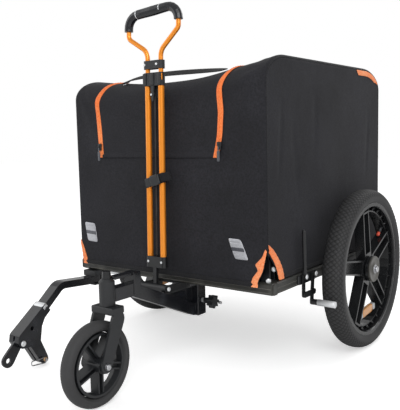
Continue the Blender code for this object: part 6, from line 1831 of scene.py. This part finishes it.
@dataclass
class Tray:
    """Small tray pieces: rail end caps, painted highlight strips, brake plates, bolt heads, brake bar
    sleeves.
    """

    half_width: float = 0.296
    rail: tuple = (0.205, 0.231)
    bead_heights: tuple = (0.2188, 0.2098)
    bead_half: float = 0.0008
    brake_pivots: tuple = (("lever", 0.130), ("shoe", 0.177))
    pivot_z: float = 0.2245
    sleeve_start: float = 0.318

    def rails(self) -> None:
        """Builds the end caps of the rails, and the pale strips along them that paint highlight lines."""
        up = (self.rail[0] + 0.0005, self.rail[1] - 0.0005)
        for end, back in (("front", (0.0005, 0.0195)), ("rear", (0.5885, 0.6075))):
            for side in Side:
                out = (self.half_width - 0.001, self.half_width + 0.0022)
                cap = side_block(f"rail_cap_{end}_{side.word}", side, out, back, up, 6.0, 0)
                dress(cap, "rail_coat", "trailer")
        # Thin pale strips along the rails at these heights: painted highlight lines.
        for number, z in enumerate(self.bead_heights, 1):
            low, high = z - self.bead_half, z + self.bead_half
            bead = block(f"front_rail_bead_{number}", (-0.292, -0.0007, low), (0.292, 0.0012, high), 3.0, 0)
            dress(bead, "rail_highlight_strip", "trailer")
            for side in Side:
                name = f"side_rail_bead_{side.word}_{number}"
                out = (0.2948, self.half_width + 0.0007)
                bead = side_block(name, side, out, (0.022, 0.586), (low, high), 3.0, 1)
                dress(bead, "rail_highlight_strip", "trailer")

    def brake(self, side: Side) -> None:
        """Builds the bolt heads, base plate and bar sleeve of one parking brake.

        Args:
            side: Side of the brake.
        """
        s, word = side.value, side.word
        lever_reach = max(abs(corner.x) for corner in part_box(f"brake_lever_{word}"))
        shoe_reach = max(abs(corner.x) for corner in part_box(f"brake_shoe_{word}"))
        for part, back in self.brake_pivots:
            place = (s * (lever_reach - 0.0006), back, self.pivot_z)
            head = dome(f"brake_{part}_bolt_{word}", place, (s, 0, 0), 0.0056, 0.0030)
            dress(head, "pale_zinc", f"brake_{part}_{word}")
        plate = side_block(
            f"brake_plate_{word}", side, (0.2962, 0.2992), (0.108, 0.198), (0.2065, 0.2295), 9.0, 0
        )
        dress(plate, "black_coat", "trailer")
        start, end = self.sleeve_start, shoe_reach + 0.0004
        profile = ((start, 0), (start, 0.0077), (end - 0.0008, 0.0077), (end, 0.0070), (end, 0))
        sleeve = turned(f"brake_bar_sleeve_{word}", np.array(profile) * [s, 1], (0, 0.170, 0.157), 32)
        dress(sleeve, "pale_zinc", f"brake_shoe_{word}")

    def build(self) -> None:
        """Builds and dresses them."""
        self.rails()
        for side in Side:
            self.brake(side)
            for number, (y, z) in enumerate(((0.034, 0.2565), (0.0105, 0.2350)), 1):
                place, out = (side.value * 0.2795, y, z), (side.value * 0.6, -0.8, 0)
                head = dome(f"frame_bolt_{side.word}_{number}", place, out, 0.0058, 0.0034)
                dress(head, "pale_zinc", "trailer")


@dataclass
class Hitch:
    """The bright pieces on the tow arm: the clip over the beam, the hinge bolt's heads, the pin's collars."""

    across: float = -0.255
    slope: float = math.atan2(0.062, 0.074)
    clip_place: tuple = (-0.1835, 0.1500)
    clip_half: float = 0.0065
    pivot: tuple = (-0.251, 0.074)
    leg: tuple = (-0.189, 0.018)

    def clip(self) -> Piece:
        """A bent plate over the beam where the hitch is bolted on: a flat band swept over its top edges."""
        half = np.array([0.0140, 0.0172, 0.0186, 0.0188])
        fall = np.array([0.0024, 0.0014, -0.0020, -0.0080])
        x = self.across + np.concatenate([-half[::-1], [0.0], half])
        lift = np.concatenate([fall[::-1], [0.0024], fall])
        sine, cosine = math.sin(self.slope), math.cos(self.slope)
        y, z = self.clip_place[0] - sine * lift, self.clip_place[1] + cosine * lift
        t = np.linspace(-1, 1, 9)[:, None, None]
        along, up = np.array([0.0, cosine, sine]), np.array([0.0, -sine, cosine])
        grid = np.stack([x, y, z], -1)[None] + along * t * self.clip_half + up * (0.0012 * (1 - t**2))
        return cloth("hitch_clip", grid, 0.0012, np.array([self.across, -0.17, 0.12]))

    def build(self) -> None:
        """Builds and dresses them."""
        dress(self.clip(), "pale_zinc", "tow_arm")
        bolt, collar = (0.0070, 0.0044), (0.0056, 0.0030)
        end_heads("hitch_bolt", "hitch_bracket", 0.0026, self.pivot, bolt, "pale_zinc", "tow_arm")
        end_heads("pull_pin_collar", "hitch_bracket", 0.0030, self.leg, collar, "brass", "tow_arm")


NODE_FINISH = {
    "rail_coat": ("front_rail", "rear_rail", "side_rail_left", "side_rail_right"),
    "black_coat": (
        "rear_cross_bar", "arm_spigot", "axle_plate_left", "axle_plate_right", "side_frame_left",
        "side_frame_right", "brake_lever_left", "brake_lever_right", "brake_link_left", "brake_link_right",
        "brake_shoe_left", "brake_shoe_right", "stem_nut", "handle_bracket",
        "handle_foot", "lever_keeper", "tow_bracket", "corner_bracket_front_left",
        "corner_bracket_front_right", "corner_bracket_rear_left", "corner_bracket_rear_right",
    ),
    "arm_coat": ("caster_arm", "tow_beam", "hitch_bracket", "hitch_lug"),
    "zinc": (
        "wheel_axle_left", "wheel_axle_right", "caster_axle", "hitch_pin",
    ),
    "orange_tube": (
        "handle_lower_tube_left", "handle_lower_tube_right",
        "handle_upper_tube_left", "handle_upper_tube_right",
    ),
    "nylon": (
        "caster_head", "caster_fork", "caster_wheel", "star_knob", "handle_lower_clamp", "handle_upper_clamp",
        "release_lever",
    ),
    "wheel_nylon": ("wheel_left", "wheel_right"),
    "grip_polymer": ("handle_grip",),
    "acetal": ("zip_slider_left", "zip_slider_right"),
    "tyre": ("tyre_left", "tyre_right"),
    "caster_tyre": ("caster_tyre",),
    "floor_board": ("floor_panel",),
    "oxford_cloth": ("front_flap", "rear_door", "cover_shell"),
    "orange_zip": ("front_zip_left", "front_zip_right"),
    "webbing": ("top_strap", "handle_strap"),
}


def dress_nodes() -> None:
    """Gives every CAD node its procedural finish."""
    for finish, names in NODE_FINISH.items():
        for name in names:
            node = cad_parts[name]
            node.data.materials.clear()
            node.data.materials.append(MATERIALS[finish])
            LOG.info("node %s: %s", name, finish)


@dataclass
class Studio:
    """Camera at the photograph's viewing angle, soft lamps, and a pale floor that fades into white."""

    position: tuple = (0.985, -1.161, 0.550)
    yaw: float = 37.135
    pitch: float = 6.108
    roll: float = -1.320
    lens: float = 56.01
    floor_glow: float = 0.5
    dim: float = 0.62

    def camera(self) -> None:
        """Makes the camera: its axes follow from yaw, pitch and roll."""
        yaw, pitch, roll = (math.radians(a) for a in (self.yaw, self.pitch, self.roll))
        level = math.cos(pitch)
        forward = Vector((-math.sin(yaw) * level, math.cos(yaw) * level, -math.sin(pitch)))
        right = Vector((math.cos(yaw), math.sin(yaw), 0.0))
        up = right.cross(forward)
        turned_right = right * math.cos(roll) + up * math.sin(roll)
        turned_up = up * math.cos(roll) - right * math.sin(roll)
        data = bpy.data.cameras.new("camera")
        data.sensor_width = 36.0
        data.lens = self.lens
        data.clip_start = 0.05
        data.clip_end = 60.0
        obj = in_scene("camera", data)
        basis = Matrix((turned_right, turned_up, -forward)).transposed()
        obj.matrix_world = Matrix.Translation(Vector(self.position) + Vector(ROW_SHIFT)) @ basis.to_4x4()
        bpy.context.scene.camera = obj

    def lamp(self, name: str, place: tuple, aim: tuple, size: float, power: float) -> None:
        """A square area lamp that points from its place to its aim.

        Args:
            name: Its name.
            place: Where it stands.
            aim: The point that it shines at.
            size: Length of its edges.
            power: Its power in watts.
        """
        data = bpy.data.lights.new(name, "AREA")
        data.shape = "SQUARE"
        data.size = size
        data.energy = power
        obj = in_scene(name, data)
        obj.location = place
        obj.rotation_euler = (Vector(aim) - Vector(place)).to_track_quat("-Z", "Y").to_euler()

    def world(self) -> None:
        """Soft grey light all round, which the camera and clear materials see as white."""
        world = bpy.data.worlds.new("studio")
        bpy.context.scene.world = world
        world.use_nodes = True
        tree = world.node_tree
        back = tree.nodes["Background"]
        path = tree.nodes.new("ShaderNodeLightPath")
        shown = tree.nodes.new("ShaderNodeMath")
        shown.operation = "MAXIMUM"
        tree.links.new(path.outputs["Is Camera Ray"], shown.inputs[0])
        tree.links.new(path.outputs["Is Transmission Ray"], shown.inputs[1])
        level = tree.nodes.new("ShaderNodeMapRange")
        tree.links.new(shown.outputs[0], level.inputs["Value"])
        level.inputs["To Min"].default_value = self.dim
        level.inputs["To Max"].default_value = 1.0
        tree.links.new(level.outputs[0], back.inputs["Strength"])
        back.inputs["Color"].default_value = (1.0, 1.0, 1.0, 1.0)

    def floor(self) -> None:
        """A wide pale floor whose camera view is white but for the soft shadow."""
        x, y = np.meshgrid(np.linspace(-12, 12, 3), np.linspace(-12, 12, 3), indexing="ij")
        obj = surface("floor", np.stack([x, y, np.full_like(x, -0.0006)], -1))
        g = Graph("white_floor")
        shown = g.node("LightPath").outputs["Is Camera Ray"]
        glow = g.node("Math", {0: shown, 1: self.floor_glow}, operation="MULTIPLY")
        material = g.shade(
            Base_Color=(0.93, 0.93, 0.93, 1.0),
            Roughness=0.9,
            Emission_Color=(1.0, 1.0, 1.0, 1.0),
            Emission_Strength=glow.outputs[0],
        )
        obj.data.materials.append(material)

    def build(self) -> None:
        """Sets up the whole studio."""
        bpy.context.scene.view_settings.view_transform = "Standard"
        self.camera()
        self.world()
        self.floor()
        self.lamp("key", (2.2, -2.6, 2.6), (0, 0, 0.4), 2.2, 62.0)
        self.lamp("fill", (-2.8, -1.6, 1.6), (0, 0, 0.4), 2.4, 18.0)
        self.lamp("rim", (0.5, 2.8, 2.4), (0, 0, 0.5), 2.0, 24.0)


def main() -> None:
    """Builds the studio and every sub-assembly in order."""
    logging.basicConfig(level=logging.INFO, format="%(message)s")
    Studio().build()
    dress_nodes()
    Cabin().build()
    RearDoor().build()
    Wheel(Side.LEFT).build()
    Wheel(Side.RIGHT).build()
    Caster().build()
    Handle().build()
    Tray().build()
    Hitch().build()


if __name__ == "__main__":
    main()
